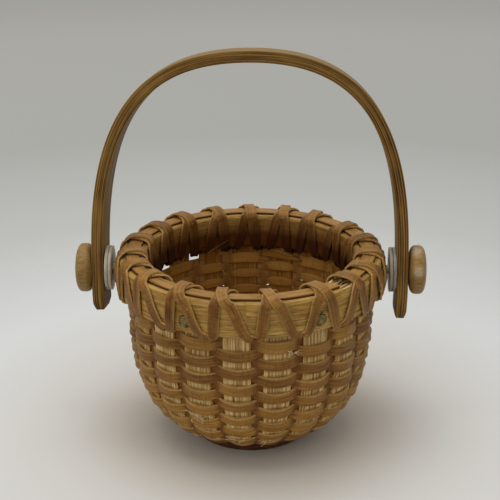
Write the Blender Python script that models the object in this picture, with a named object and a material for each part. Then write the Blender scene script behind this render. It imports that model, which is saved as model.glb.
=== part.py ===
"""A miniature round basket with a swinging bail handle, one object for each piece.

The basket stands on its turned base at the origin, +Z up, and its bail turns on two
pins along X. Angles round the basket start at the front, -Y, and grow towards +X.
"""
import math

import bpy
from mathutils import Matrix, Vector

MM = 0.001

# Clearances
FIT_GAP = 0.25 * MM
LASH_GAP = 0.2 * MM
CUT_OVERRUN = 2.0 * MM

# Turned base
BASE_RADIUS = 15.4 * MM
BASE_EDGE = 0.8 * MM
BASE_LIP = 2.3 * MM
BASE_CAP = 1.6 * MM
GROOVE_DEPTH = 2.4 * MM
STAVE_SEAT_DEPTH = 1.9 * MM

# Staves, which follow the wall of the bowl
STAVE_COUNT = 19
PIN_STAVE_COUNT = 5
STAVE_THICKNESS = 1.0 * MM
STAVE_PITCH_SHARE = 0.6875
WALL_RADIUS = 29.9 * MM
WALL_STRAIGHT = 5.9 * MM
WALL_DROP_SHARE = 0.735
WALL_FLOOR_SHARE = 0.55
STAVE_ENTRY_ANGLE = math.radians(6)
WALL_BENDS = 11

# Cane weaver, one spiral cut into three lengths
WEAVER_WIDTH = 1.95 * MM
WEAVER_THICKNESS = 0.6 * MM
WEAVER_PITCH = 2.3 * MM
WEAVER_TOP_DROP = 2.75 * MM
WEAVER_FOOT_MARGIN = 6.4 * MM
WEAVER_START_COUNT = -4
WEAVER_LENGTHS = ("weaver_upper", "weaver_middle", "weaver_lower")
SPLICE_GAP = 0.5 * MM

# Two rim hoops and the reed that caps them
RIM_BOTTOM = 40.1 * MM
RIM_HEIGHT = 8.9 * MM
OUTER_RIM_THICKNESS = 2.75 * MM
INNER_RIM_THICKNESS = 2.4 * MM
RIM_EDGE = 0.5 * MM
RIM_SEGMENTS = 57
CAP_WIDTH = 4.6 * MM
CAP_THICKNESS = 1.15 * MM
CAP_END_ANGLE = math.radians(48)
CAP_END_GAP = 1.4 * MM

# Cross lashing round the rim
LASH_WIDTH = 2.2 * MM
LASH_THICKNESS = 0.55 * MM
LASH_APEX_ANGLE = math.radians(4.8)
LASH_OUTER_FOOT = 1.25 * MM
LASH_INNER_FOOT = 1.38 * MM
LASH_ARCH = 0.35 * MM
LASH_EAVE_SHARE = 0.7
LASH_SLANT_SHARE = 1.25
LASH_MITRE_SHARE = 1.08
LASH_PIN_SHARE = -0.66
LASH_LEG_SHARES = (-1, LASH_PIN_SHARE, -0.36, -0.2, 0, 0.2, 0.36, 0.66, 1)
LASH_LIFT_SHARES = (0, 0, 1, 1, 1, 1, 1, 0, 0)

# Rim nails
NAIL_GAP_COUNTS = (-2, 1, 7, -8)
NAIL_SHIFT = math.radians(7.6)
NAIL_DROP = 1.5 * MM
NAIL_HEAD_RADIUS = 1.35 * MM
NAIL_HEAD_HEIGHT = 0.45 * MM
NAIL_SHANK_RADIUS = 0.45 * MM
NAIL_INNER_DEPTH = 1.2 * MM
NAIL_SEGMENTS = 10

# Pivot pins, washers and knobs
PIN_RADIUS = 1.1 * MM
PIN_KNOB_DEPTH = 3.0 * MM
PIN_SEGMENTS = 12
WASHER_RADIUS = 5.7 * MM
WASHER_THICKNESS = 0.7 * MM
WASHER_SEGMENTS = 24
KNOB_RADIUS = 6.25 * MM
KNOB_THICKNESS = 4.7 * MM
KNOB_EDGE = 1.7 * MM
KNOB_EDGE_STEPS = 3
KNOB_SEGMENTS = 24

# Bail handle, in its own upright plane before it leans back
HANDLE_WIDTH = 8.7 * MM
HANDLE_THICKNESS = 2.7 * MM
HANDLE_RISE = 55.8 * MM
HANDLE_SHOULDER = 4.0 * MM
SHOULDER_RISE_SHARE = 0.76
CROWN_REACH_SHARE = 0.63
HANDLE_LEAN = math.radians(8.5)
LEG_TUCK = math.radians(7)
LEFT_LEG_DROP = 10.4 * MM
RIGHT_LEG_DROP = 12.0 * MM
LEG_END_TAPER = 1.4 * MM
LEG_END_SHARE = 0.8
HANDLE_STEPS = 15

# Outlines of the swept strips, in halves of their width and thickness
FLAT_SHARES = ((-1, -1), (1, -1), (1, 1), (-1, 1))
CROWNED_SHARES = ((-1, -1), (1, -1), (1, 0.1), (0.55, 1), (-0.55, 1), (-1, 0.1))
SOFT_SHARES = ((-1, -0.7), (-0.92, -1), (0.92, -1), (1, -0.7),
               (1, 0.7), (0.92, 1), (-0.92, 1), (-1, 0.7))

STEEPEST_MITRE_SHARE = 0.5
SHARP_ANGLE = math.radians(40)

# Places that follow from the sizes above
STAVE_ANGLE = math.tau / STAVE_COUNT
QUARTER_TURN = math.pi / 2
FIRST_STAVE_ANGLE = QUARTER_TURN - PIN_STAVE_COUNT * STAVE_ANGLE
BELLY_HEIGHT = RIM_BOTTOM - WALL_STRAIGHT
STAVE_TOP = RIM_BOTTOM + RIM_HEIGHT - RIM_EDGE
GROOVE_RISE = 2 * STAVE_SEAT_DEPTH * math.tan(STAVE_ENTRY_ANGLE)
GROOVE_HEIGHT = STAVE_THICKNESS + 2 * FIT_GAP + GROOVE_RISE
BASE_HEIGHT = BASE_LIP + GROOVE_HEIGHT + BASE_CAP
SEAT_RADIUS = BASE_RADIUS - STAVE_SEAT_DEPTH
SEAT_HEIGHT = BASE_LIP + FIT_GAP + STAVE_THICKNESS / 2
OUTER_RIM_INSIDE = WALL_RADIUS + STAVE_THICKNESS / 2 + FIT_GAP
OUTER_RIM_OUTSIDE = OUTER_RIM_INSIDE + OUTER_RIM_THICKNESS
INNER_RIM_OUTSIDE = WALL_RADIUS - STAVE_THICKNESS / 2 - FIT_GAP
INNER_RIM_INSIDE = INNER_RIM_OUTSIDE - INNER_RIM_THICKNESS
RIM_TOP = RIM_BOTTOM + RIM_HEIGHT
RIM_CENTRE = (OUTER_RIM_OUTSIDE + INNER_RIM_INSIDE) / 2
CAP_TOP = RIM_TOP + FIT_GAP + CAP_THICKNESS
PIVOT_HEIGHT = RIM_BOTTOM + RIM_HEIGHT / 2
LASH_LIFT = LASH_GAP + LASH_THICKNESS / 2
LASH_STACK = LASH_THICKNESS + LASH_GAP
BORE_RADIUS = PIN_RADIUS + FIT_GAP
WASHER_START = OUTER_RIM_OUTSIDE + 2 * LASH_STACK + 2 * LASH_GAP
WASHER_STEP = WASHER_THICKNESS + LASH_GAP
HANDLE_INSIDE = WASHER_START + 2 * WASHER_STEP
HANDLE_OUTSIDE = HANDLE_INSIDE + HANDLE_THICKNESS
KNOB_START = HANDLE_OUTSIDE + FIT_GAP


def material(name, colour, roughness, metallic=0.0, alpha=1.0):
    """A plain Principled material."""
    made = bpy.data.materials.new(name)
    made.use_nodes = True
    shader = made.node_tree.nodes["Principled BSDF"]
    shader.inputs["Base Color"].default_value = (*colour, 1.0)
    shader.inputs["Roughness"].default_value = roughness
    shader.inputs["Metallic"].default_value = metallic
    shader.inputs["Alpha"].default_value = alpha
    return made


def add_object(name, points, faces, finish, smooth=False):
    """Make one named object from its corners and faces."""
    mesh = bpy.data.meshes.new(name)
    mesh.from_pydata(points, [], faces)
    mesh.materials.append(finish)
    mesh.update()
    if smooth:
        mesh.shade_smooth()
        mesh.set_sharp_from_angle(angle=SHARP_ANGLE)
    made = bpy.data.objects.new(name, mesh)
    bpy.context.scene.collection.objects.link(made)
    return made


def turned(name, outline, segments, finish, place=None):
    """Turn an outline of (radius, height) about Z, then put it in its place.

    An outline that starts and ends on the axis closes there; any other is a ring.
    """
    points = []
    rows = []
    for radius, height in outline:
        count = 1 if radius == 0 else segments
        rows.append([len(points) + step for step in range(count)])
        for step in range(count):
            angle = math.tau * step / segments
            points.append(Vector((radius * math.cos(angle), radius * math.sin(angle), height)))
    if outline[0][0] != 0:
        rows.append(rows[0])
    faces = []
    for low, high in zip(rows, rows[1:]):
        for step in range(segments):
            ahead = (step + 1) % segments
            if len(low) == 1:
                faces.append((low[0], high[ahead], high[step]))
            elif len(high) == 1:
                faces.append((low[step], low[ahead], high[0]))
            else:
                faces.append((low[step], low[ahead], high[ahead], high[step]))
    if place is not None:
        points = [place @ point for point in points]
    return add_object(name, points, faces, finish, smooth=True)


def swept(name, path, outs, widths, thickness, shares, finish, smooth=False):
    """Sweep a flat section along a path, its crown facing each point's out direction."""
    runs = [(after - before).normalized() for before, after in zip(path, path[1:])]
    points = []
    for index, centre in enumerate(path):
        into = runs[max(index - 1, 0)]
        away = runs[min(index, len(runs) - 1)]
        along = (into + away).normalized()
        across = along.cross(outs[index]).normalized()
        up = across.cross(along).normalized()
        flat_up = across.cross(into).normalized()
        mitre = 1 / max(up.dot(flat_up), STEEPEST_MITRE_SHARE)
        for side, rise in shares:
            points.append(centre + across * (side * widths[index] / 2)
                          + up * (rise * thickness * mitre / 2))
    faces = []
    corners = len(shares)
    for ring in range(len(runs)):
        low = ring * corners
        high = low + corners
        for corner in range(corners):
            ahead = (corner + 1) % corners
            faces.append((low + corner, high + corner, high + ahead, low + ahead))
    faces.append(tuple(range(corners)))
    faces.append(tuple(len(runs) * corners + corner for corner in reversed(range(corners))))
    return add_object(name, points, faces, finish, smooth)


def outward(angle):
    """The level direction away from the basket's axis at an angle round it."""
    return Vector((math.sin(angle), -math.cos(angle), 0))


def sideways(angle):
    """The level direction along the wall at an angle round the basket."""
    return Vector((math.cos(angle), math.sin(angle), 0))


def at(radius, angle, height):
    """A point by its radius, its angle round the basket and its height."""
    point = outward(angle) * radius
    point.z = height
    return point


def bezier(ends, share):
    """A point on a cubic curve through four control points."""
    rest = 1 - share
    weights = (rest ** 3, 3 * rest ** 2 * share, 3 * rest * share ** 2, share ** 3)
    return sum((point * weight for point, weight in zip(ends, weights)), Vector((0, 0)))


def wall_outline():
    """The stave's middle line as (radius, height), from the rim's bottom to the base."""
    seat = Vector((SEAT_RADIUS, SEAT_HEIGHT))
    drop = BELLY_HEIGHT - SEAT_HEIGHT
    reach = WALL_RADIUS - SEAT_RADIUS
    entry = Vector((math.cos(STAVE_ENTRY_ANGLE), math.sin(STAVE_ENTRY_ANGLE)))
    ends = (Vector((WALL_RADIUS, BELLY_HEIGHT)),
            Vector((WALL_RADIUS, BELLY_HEIGHT - drop * WALL_DROP_SHARE)),
            seat + entry * (reach * WALL_FLOOR_SHARE),
            seat)
    outline = [Vector((WALL_RADIUS, RIM_BOTTOM))]
    outline += [bezier(ends, step / WALL_BENDS) for step in range(WALL_BENDS + 1)]
    return outline


class Wall:
    """The wall's middle line, read by the distance down from the rim's bottom edge."""

    def __init__(self):
        self.outline = wall_outline()
        self.reaches = [0.0]
        for low, high in zip(self.outline, self.outline[1:]):
            self.reaches.append(self.reaches[-1] + (high - low).length)
        self.length = self.reaches[-1]

    def read(self, reach):
        """The (radius, height) at a distance down and the unit direction down."""
        place = 1
        while place < len(self.reaches) - 1 and self.reaches[place] < reach:
            place += 1
        low = self.outline[place - 1]
        high = self.outline[place]
        down = (high - low).normalized()
        return low + down * (reach - self.reaches[place - 1]), down

    def frame(self, reach, angle):
        """A point of the wall, with its side, outward and radius."""
        spot, down = self.read(reach)
        side = sideways(angle)
        out = outward(angle) * -down.y
        out.z = down.x
        return at(spot.x, angle, spot.y), side, out, spot.x


def stave_width(radius):
    """A stave narrows with the wall so that it keeps its share of the pitch."""
    return math.tau * radius / STAVE_COUNT * STAVE_PITCH_SHARE


def stave_angle(index):
    """The angle of a stave, counted from the one left of the front."""
    return FIRST_STAVE_ANGLE + index * STAVE_ANGLE


def make_base(finish):
    """A turned disc with a groove round its edge for the stave ends."""
    groove_low = BASE_LIP
    groove_high = BASE_LIP + GROOVE_HEIGHT
    floor = BASE_RADIUS - GROOVE_DEPTH
    outline = ((0, 0),
               (BASE_RADIUS - BASE_EDGE, 0),
               (BASE_RADIUS, BASE_EDGE),
               (BASE_RADIUS, groove_low),
               (floor, groove_low),
               (floor, groove_high),
               (BASE_RADIUS - BASE_EDGE, groove_high),
               (BASE_RADIUS - BASE_EDGE, BASE_HEIGHT - BASE_EDGE),
               (BASE_RADIUS - 2 * BASE_EDGE, BASE_HEIGHT),
               (0, BASE_HEIGHT))
    return turned("base", outline, 2 * STAVE_COUNT, finish)


def make_staves(wall, finish):
    """Upright staves from the groove in the base to the top of the rim."""
    reaches = [RIM_BOTTOM - STAVE_TOP] + wall.reaches[1:]
    made = []
    for index in range(STAVE_COUNT):
        path = []
        outs = []
        widths = []
        for reach in reaches:
            point, _, out, radius = wall.frame(reach, stave_angle(index))
            path.append(point)
            outs.append(out)
            widths.append(stave_width(radius))
        name = f"stave_{index + 1:02d}"
        made.append(swept(name, path, outs, widths, STAVE_THICKNESS, FLAT_SHARES, finish))
    return made


def weaver_crossings(wall):
    """How many staves the whole weaver crosses, so that it starts and ends inside."""
    depth = wall.length - WEAVER_FOOT_MARGIN - WEAVER_TOP_DROP
    crossings = round(depth / WEAVER_PITCH * STAVE_COUNT)
    return crossings - crossings % 2


def make_weavers(wall, finish):
    """A spiral of cane that passes in front of and behind the staves by turns."""
    crossings = weaver_crossings(wall)
    lengths = len(WEAVER_LENGTHS)
    cuts = [2 * round(crossings * part / lengths / 2) for part in range(lengths + 1)]
    made = []
    for name, start, end in zip(WEAVER_LENGTHS, cuts, cuts[1:]):
        path = []
        outs = []
        for crossing in range(start, end + 1):
            reach = WEAVER_TOP_DROP + WEAVER_PITCH * crossing / STAVE_COUNT
            point, side, out, radius = wall.frame(reach, stave_angle(WEAVER_START_COUNT + crossing))
            face = 1 if crossing % 2 else -1
            lift = face * (STAVE_THICKNESS / 2 + FIT_GAP + WEAVER_THICKNESS / 2)
            half = stave_width(radius) / 2 + FIT_GAP
            near = SPLICE_GAP / 2 if crossing == start else -half
            far = -SPLICE_GAP / 2 if crossing == end else half
            for along in (near, far):
                path.append(point + side * along + out * lift)
                outs.append(out)
        widths = [WEAVER_WIDTH] * len(path)
        made.append(swept(name, path, outs, widths, WEAVER_THICKNESS, FLAT_SHARES, finish))
    return made


def make_hoop(name, inside, outside, rounded_outside, finish):
    """A bent wooden hoop of the rim, with its showing edges eased."""
    edge = RIM_EDGE
    if rounded_outside:
        outline = ((inside, RIM_BOTTOM), (outside - edge, RIM_BOTTOM),
                   (outside, RIM_BOTTOM + edge), (outside, RIM_TOP - edge),
                   (outside - edge, RIM_TOP), (inside, RIM_TOP))
    else:
        outline = ((inside, RIM_BOTTOM + edge), (inside + edge, RIM_BOTTOM),
                   (outside, RIM_BOTTOM), (outside, RIM_TOP),
                   (inside + edge, RIM_TOP), (inside, RIM_TOP - edge))
    return turned(name, outline, RIM_SEGMENTS, finish)


def make_cap(finish):
    """The reed that covers the gap between the hoops, with its two ends nearly meeting."""
    opening = CAP_END_GAP / RIM_CENTRE
    start = CAP_END_ANGLE + opening / 2
    sweep = math.tau - opening
    height = RIM_TOP + FIT_GAP + CAP_THICKNESS / 2
    angles = [start + sweep * step / RIM_SEGMENTS for step in range(RIM_SEGMENTS + 1)]
    path = [at(RIM_CENTRE, angle, height) for angle in angles]
    outs = [Vector((0, 0, 1))] * len(path)
    widths = [CAP_WIDTH] * len(path)
    return swept("rim_cap", path, outs, widths, CAP_THICKNESS, CROWNED_SHARES, finish)


def lash_section(over):
    """The strap's way round the rim as (radius, height, out, leg share), out as (r, z).

    It runs from the outer foot over the top to the inner foot. The leg share goes from -1
    at the outer foot through 0 at the top to 1 at the inner foot. The pass that lies over
    the other is lifted off it wherever the two are too close to lie side by side.
    """
    outside = OUTER_RIM_OUTSIDE + LASH_LIFT
    inside = INNER_RIM_INSIDE - LASH_LIFT
    eave_reach = CAP_WIDTH / 2 + LASH_LIFT * LASH_EAVE_SHARE
    spots = (Vector((outside, RIM_BOTTOM)),
             Vector((outside, PIVOT_HEIGHT)),
             Vector((outside, RIM_TOP)),
             Vector((RIM_CENTRE + eave_reach, CAP_TOP)),
             Vector((RIM_CENTRE, CAP_TOP + LASH_LIFT + LASH_ARCH)),
             Vector((RIM_CENTRE - eave_reach, CAP_TOP)),
             Vector((inside, RIM_TOP)),
             Vector((inside, PIVOT_HEIGHT)),
             Vector((inside, RIM_BOTTOM)))
    section = []
    for index, (spot, leg, lift) in enumerate(zip(spots, LASH_LEG_SHARES, LASH_LIFT_SHARES)):
        before = spots[max(index - 1, 0)]
        after = spots[min(index + 1, len(spots) - 1)]
        along = (after - spot).normalized() + (spot - before).normalized()
        out = Vector((-along.y, along.x)).normalized() * -1
        if over:
            spot = spot + out * (LASH_STACK * LASH_MITRE_SHARE * lift)
        section.append((spot.x, spot.y, out, leg))
    return section


def make_lashing(name, over, finish):
    """One pass of the cross lashing, a strap wound through every gap between staves.

    The first pass climbs outside just past its gap and comes down inside at the next gap.
    The other pass winds the opposite way over it.
    """
    outer_foot = LASH_OUTER_FOOT / OUTER_RIM_OUTSIDE
    inner_foot = LASH_INNER_FOOT / INNER_RIM_INSIDE
    clear = (LASH_WIDTH / 2 + PIN_RADIUS + LASH_GAP) * LASH_SLANT_SHARE / OUTER_RIM_OUTSIDE
    passage = RIM_BOTTOM - LASH_LIFT - (LASH_STACK if over else 0)
    beneath = Vector((0, 0, -1))
    path = []
    outs = []
    for turn in range(STAVE_COUNT):
        gap = FIRST_STAVE_ANGLE + STAVE_ANGLE * (STAVE_COUNT - 1 - turn if over else turn)
        gap += STAVE_ANGLE / 2
        apex = gap + LASH_APEX_ANGLE
        outside = gap + STAVE_ANGLE - outer_foot if over else gap + outer_foot
        inside = gap + inner_foot if over else gap + STAVE_ANGLE - inner_foot
        hole = gap if over else gap + STAVE_ANGLE
        leaving = hole - outer_foot if over else hole + outer_foot
        for radius, height, out, leg in lash_section(over):
            angle = apex + (outside - apex if leg < 0 else inside - apex) * abs(leg)
            if leg == LASH_PIN_SHARE:
                angle += pin_detour(angle, clear)
            spread = outward(angle) * out.x
            spread.z = out.y
            path.append(at(radius, angle, height))
            outs.append(spread)
        path += [at(INNER_RIM_INSIDE, inside, passage),
                 at(WALL_RADIUS, hole, passage),
                 at(OUTER_RIM_OUTSIDE, leaving, passage)]
        outs += [beneath] * 3
    path.pop()
    outs.pop()
    widths = [LASH_WIDTH] * len(path)
    return swept(name, path, outs, widths, LASH_THICKNESS, FLAT_SHARES, finish)


def pin_detour(angle, clear):
    """How far a strap bows aside so that it passes a pivot pin."""
    for pin in (QUARTER_TURN, -QUARTER_TURN):
        away = (angle - pin + math.pi) % math.tau - math.pi
        if abs(away) < clear:
            return math.copysign(clear - abs(away), away)
    return 0.0


def radial_place(angle, height):
    """A frame whose Z points outward at an angle round the basket."""
    out = outward(angle)
    up = Vector((0, 0, 1))
    side = up.cross(out)
    place = Matrix((side, up, out)).transposed().to_4x4()
    place.translation = Vector((0, 0, height))
    return place


def nail_angles():
    """The nails stand between the two straps past four of the gaps."""
    return [FIRST_STAVE_ANGLE + STAVE_ANGLE * (gap + 0.5) + NAIL_SHIFT for gap in NAIL_GAP_COUNTS]


def make_nails(finish):
    """Small nails through the outer hoop and the staves into the inner hoop."""
    tip = INNER_RIM_OUTSIDE - NAIL_INNER_DEPTH
    seat = OUTER_RIM_OUTSIDE + LASH_GAP
    outline = ((0, tip),
               (NAIL_SHANK_RADIUS, tip + NAIL_SHANK_RADIUS),
               (NAIL_SHANK_RADIUS, seat),
               (NAIL_HEAD_RADIUS, seat),
               (NAIL_HEAD_RADIUS, seat + NAIL_HEAD_HEIGHT / 2),
               (NAIL_HEAD_RADIUS - NAIL_HEAD_HEIGHT, seat + NAIL_HEAD_HEIGHT),
               (0, seat + NAIL_HEAD_HEIGHT))
    height = PIVOT_HEIGHT - NAIL_DROP
    return [turned(f"rim_nail_{number}", outline, NAIL_SEGMENTS, finish, radial_place(angle, height))
            for number, angle in enumerate(nail_angles(), 1)]


def make_cutter(name, start, end, radius, segments, place, finish):
    """A round bar that cuts a bore and isn't part of the basket."""
    outline = ((0, start), (radius, start), (radius, end), (0, end))
    cutter = turned(name, outline, segments, finish, place)
    cutter.hide_render = True
    cutter.display_type = "WIRE"
    return cutter


def drill(target, cutter):
    """Cut a bore through a piece."""
    cut = target.modifiers.new(cutter.name, "BOOLEAN")
    cut.operation = "DIFFERENCE"
    cut.object = cutter


def knob_outline():
    """A button with rounded rims and a blind bore for its pin."""
    inner = KNOB_START
    outer = KNOB_START + KNOB_THICKNESS
    outline = [(0, inner + PIN_KNOB_DEPTH + FIT_GAP),
               (BORE_RADIUS, inner + PIN_KNOB_DEPTH + FIT_GAP),
               (BORE_RADIUS, inner)]
    for height, turn in ((inner + KNOB_EDGE, -QUARTER_TURN), (outer - KNOB_EDGE, 0)):
        for step in range(KNOB_EDGE_STEPS + 1):
            angle = turn + QUARTER_TURN * step / KNOB_EDGE_STEPS
            outline.append((KNOB_RADIUS - KNOB_EDGE + KNOB_EDGE * math.cos(angle),
                            height + KNOB_EDGE * math.sin(angle)))
    outline.append((0, outer))
    return outline


def ring_outline(start):
    """A flat washer with its bore."""
    end = start + WASHER_THICKNESS
    return ((BORE_RADIUS, start), (WASHER_RADIUS, start), (WASHER_RADIUS, end), (BORE_RADIUS, end))


def make_side(label, turn, pin_finish, washer_finish, knob_finish):
    """The pin, washers and knob of one end of the pivot."""
    place = radial_place(turn, PIVOT_HEIGHT)
    inner = INNER_RIM_INSIDE
    outer = KNOB_START + PIN_KNOB_DEPTH
    pin = ((0, inner), (PIN_RADIUS, inner), (PIN_RADIUS, outer), (0, outer))
    return [turned(f"pivot_pin_{label}", pin, PIN_SEGMENTS, pin_finish, place),
            turned(f"washer_inner_{label}", ring_outline(WASHER_START), WASHER_SEGMENTS,
                   washer_finish, place),
            turned(f"washer_outer_{label}", ring_outline(WASHER_START + WASHER_STEP),
                   WASHER_SEGMENTS, washer_finish, place),
            turned(f"knob_{label}", knob_outline(), KNOB_SEGMENTS, knob_finish, place)]


def handle_half(side, leg_drop):
    """Centres and outward directions of half the bail, from the leg's end to the top."""
    half_width = HANDLE_OUTSIDE - HANDLE_THICKNESS / 2
    top = HANDLE_RISE - HANDLE_THICKNESS / 2
    ends = (Vector((half_width, HANDLE_SHOULDER)),
            Vector((half_width, HANDLE_SHOULDER + (top - HANDLE_SHOULDER) * SHOULDER_RISE_SHARE)),
            Vector((half_width * CROWN_REACH_SHARE, top)),
            Vector((0, top)))
    straight = WASHER_RADIUS + FIT_GAP
    tucked = leg_drop - LEG_END_TAPER
    leg = [Vector((half_width - (drop - straight) * math.tan(LEG_TUCK), -drop))
           for drop in (leg_drop, tucked, straight)]
    curve = [bezier(ends, step / HANDLE_STEPS) for step in range(HANDLE_STEPS + 1)]
    return [Vector((side * spot.x, 0, spot.y)) for spot in leg + curve]


def make_handle(finish):
    """A bent wooden bail, a flat strip with eased edges and two bored legs."""
    left = handle_half(-1, LEFT_LEG_DROP)
    right = handle_half(1, RIGHT_LEG_DROP)
    path = left + right[-2::-1]
    outs = []
    for index, point in enumerate(path):
        before = path[max(index - 1, 0)]
        after = path[min(index + 1, len(path) - 1)]
        along = (after - before).normalized()
        outs.append(Vector((-along.z, 0, along.x)))
    widths = [HANDLE_WIDTH] * len(path)
    widths[0] *= LEG_END_SHARE
    widths[-1] *= LEG_END_SHARE
    return swept("handle", path, outs, widths, HANDLE_THICKNESS, SOFT_SHARES, finish, smooth=True)


def main():
    for old in list(bpy.data.objects):
        bpy.data.objects.remove(old, do_unlink=True)
    stave_wood = material("stave_wood", (0.62, 0.46, 0.24), 0.6)
    cane = material("cane", (0.36, 0.2, 0.08), 0.42)
    rim_wood = material("rim_wood", (0.56, 0.36, 0.14), 0.5)
    cap_reed = material("cap_reed", (0.48, 0.25, 0.1), 0.5)
    base_wood = material("base_wood", (0.16, 0.08, 0.03), 0.5)
    handle_wood = material("handle_wood", (0.3, 0.17, 0.06), 0.45)
    knob_wood = material("knob_wood", (0.45, 0.28, 0.12), 0.45)
    peg_wood = material("peg_wood", (0.5, 0.34, 0.16), 0.6)
    nylon = material("nylon", (0.62, 0.6, 0.55), 0.35, alpha=0.6)
    brass = material("nail_brass", (0.32, 0.28, 0.14), 0.5, metallic=0.8)

    wall = Wall()
    base = make_base(base_wood)
    staves = make_staves(wall, stave_wood)
    weavers = make_weavers(wall, cane)
    outer_rim = make_hoop("outer_rim", OUTER_RIM_INSIDE, OUTER_RIM_OUTSIDE, True, rim_wood)
    inner_rim = make_hoop("inner_rim", INNER_RIM_INSIDE, INNER_RIM_OUTSIDE, False, rim_wood)
    cap = make_cap(cap_reed)
    lashings = [make_lashing("lashing_first", False, cane),
                make_lashing("lashing_second", True, cane)]
    nails = make_nails(brass)
    sides = make_side("left", -QUARTER_TURN, peg_wood, nylon, knob_wood)
    sides += make_side("right", QUARTER_TURN, peg_wood, nylon, knob_wood)
    handle = make_handle(handle_wood)

    pivot = bpy.data.objects.new("bail_pivot", None)
    pivot.location = (0, 0, PIVOT_HEIGHT)
    pivot.rotation_euler = (-HANDLE_LEAN, 0, 0)
    bpy.context.scene.collection.objects.link(pivot)
    handle.parent = pivot

    reach = KNOB_START + CUT_OVERRUN
    bore = make_cutter("pivot_bore", -reach, reach, BORE_RADIUS, PIN_SEGMENTS,
                       radial_place(QUARTER_TURN, PIVOT_HEIGHT), brass)
    for target in (handle, outer_rim, inner_rim, staves[PIN_STAVE_COUNT]):
        drill(target, bore)
    nail_bore = NAIL_SHANK_RADIUS + LASH_GAP
    nail_floor = INNER_RIM_OUTSIDE - NAIL_INNER_DEPTH - FIT_GAP
    for number, angle in enumerate(nail_angles(), 1):
        cutter = make_cutter(f"nail_bore_{number}", nail_floor, OUTER_RIM_OUTSIDE + CUT_OVERRUN,
                             nail_bore, NAIL_SEGMENTS,
                             radial_place(angle, PIVOT_HEIGHT - NAIL_DROP), brass)
        nearest = round((angle - FIRST_STAVE_ANGLE) / STAVE_ANGLE) % STAVE_COUNT
        for target in (outer_rim, inner_rim, staves[nearest]):
            drill(target, cutter)

    basket = bpy.data.objects.new("basket", None)
    bpy.context.scene.collection.objects.link(basket)
    for piece in [base, *staves, *weavers, outer_rim, inner_rim, cap, *lashings, *nails, *sides]:
        piece.parent = basket
    pivot.parent = basket


main()
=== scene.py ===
"""The looks of a miniature swing-handle basket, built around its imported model.

Lengths are in metres. Angles round the basket start at the front, -Y, and grow towards +X.
"""
import math

import bpy
import numpy as np
from mathutils import Matrix, Vector


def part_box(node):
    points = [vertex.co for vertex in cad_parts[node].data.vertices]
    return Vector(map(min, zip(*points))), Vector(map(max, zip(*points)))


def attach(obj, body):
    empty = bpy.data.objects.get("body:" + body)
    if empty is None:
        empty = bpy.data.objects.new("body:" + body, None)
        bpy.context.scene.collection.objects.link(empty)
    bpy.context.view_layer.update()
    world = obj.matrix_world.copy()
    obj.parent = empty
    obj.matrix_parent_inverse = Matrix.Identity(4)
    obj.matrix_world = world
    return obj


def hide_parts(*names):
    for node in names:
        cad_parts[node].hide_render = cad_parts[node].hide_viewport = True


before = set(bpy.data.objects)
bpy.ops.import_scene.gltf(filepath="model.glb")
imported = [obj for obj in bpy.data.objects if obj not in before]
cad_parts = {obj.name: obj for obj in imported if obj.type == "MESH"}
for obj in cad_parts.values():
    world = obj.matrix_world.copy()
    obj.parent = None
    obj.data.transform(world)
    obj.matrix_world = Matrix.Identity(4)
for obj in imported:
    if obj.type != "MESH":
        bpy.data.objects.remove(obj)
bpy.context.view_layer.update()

MM = 0.001
QUARTER_TURN = math.pi / 2
CORNER_SPOTS = 4
GRAIN_SHIFT = 31.7
SHARP_ANGLE = math.radians(50)

# Camera, set so that the basket falls as it does in the photograph
PHOTO_PIXELS = 500
FOCAL_PIXELS = 1421
SENSOR_WIDTH = 36
CAMERA_YAW = math.radians(2.0)
CAMERA_PITCH = math.radians(21.4)
CAMERA_ROLL = math.radians(-0.35)
CAMERA_DISTANCE = 362 * MM
CAMERA_NEAR = 10 * MM
AIM = Vector((0, 0, 49.6 * MM))
AIM_SIDE = -0.13 * MM

# Floor and light. The floor's colour is painted with shade: a little darker right round the basket,
# painted shadow, and darker a little way off, where less light falls. A colour has its place as a share
# of the way from near to far
FLOOR_REACH = 30.0
FLOOR_NEAR = 30 * MM
FLOOR_FAR = 900 * MM
FLOOR_PAINTED_SHADE = ((0.0, (0.57, 0.53, 0.465)), (0.02, (0.6, 0.585, 0.56)), (0.07, (0.62, 0.635, 0.635)),
                (0.15, (0.475, 0.485, 0.475)), (0.27, (0.39, 0.395, 0.38)), (0.5, (0.43, 0.43, 0.41)),
                (1.0, (0.34, 0.34, 0.33)))
STUDIO_COLOUR = (1.0, 0.99, 0.97, 1.0)
STUDIO_STRENGTH = 0.62

# Lamps as name, place, size, power and colour
LAMPS = (("key", Vector((-0.07, 0.0, 0.8)), 0.55, 3.3, (1.0, 0.98, 0.95)),
         ("fill", Vector((-0.5, -0.7, 0.45)), 0.6, 1.0, (1.0, 0.97, 0.93)))

# Staves and the wall that they follow. A sway is the spacing and the size of a random change
STAVE_COUNT = 19
PIN_STAVE_COUNT = 5
STAVE_ANGLE = math.tau / STAVE_COUNT
FIRST_STAVE_ANGLE = QUARTER_TURN - PIN_STAVE_COUNT * STAVE_ANGLE
STAVE_THICKNESS = 1.0 * MM
STAVE_EDGE_SHARE = 0.3
STAVE_PITCH_SHARE = 0.6875
STAVE_SIDE_SWAY = (5 * MM, 0.07 * MM)
STAVE_FOOT = 5 * MM
STAVE_FOOT_THICKNESS = 0.55 * MM
STAVE_FOOT_SHARE = 0.93
STAVE_TOP_DROP = 3.0 * MM
STAVE_RIDGE = 0.055 * MM
STAVE_RIDGE_SWAY = (9 * MM, 0.6 * STAVE_RIDGE)
STAVE_COLUMNS = 20
STAVE_RINGS = 150
STAVE_TONE = 0.28
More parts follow.
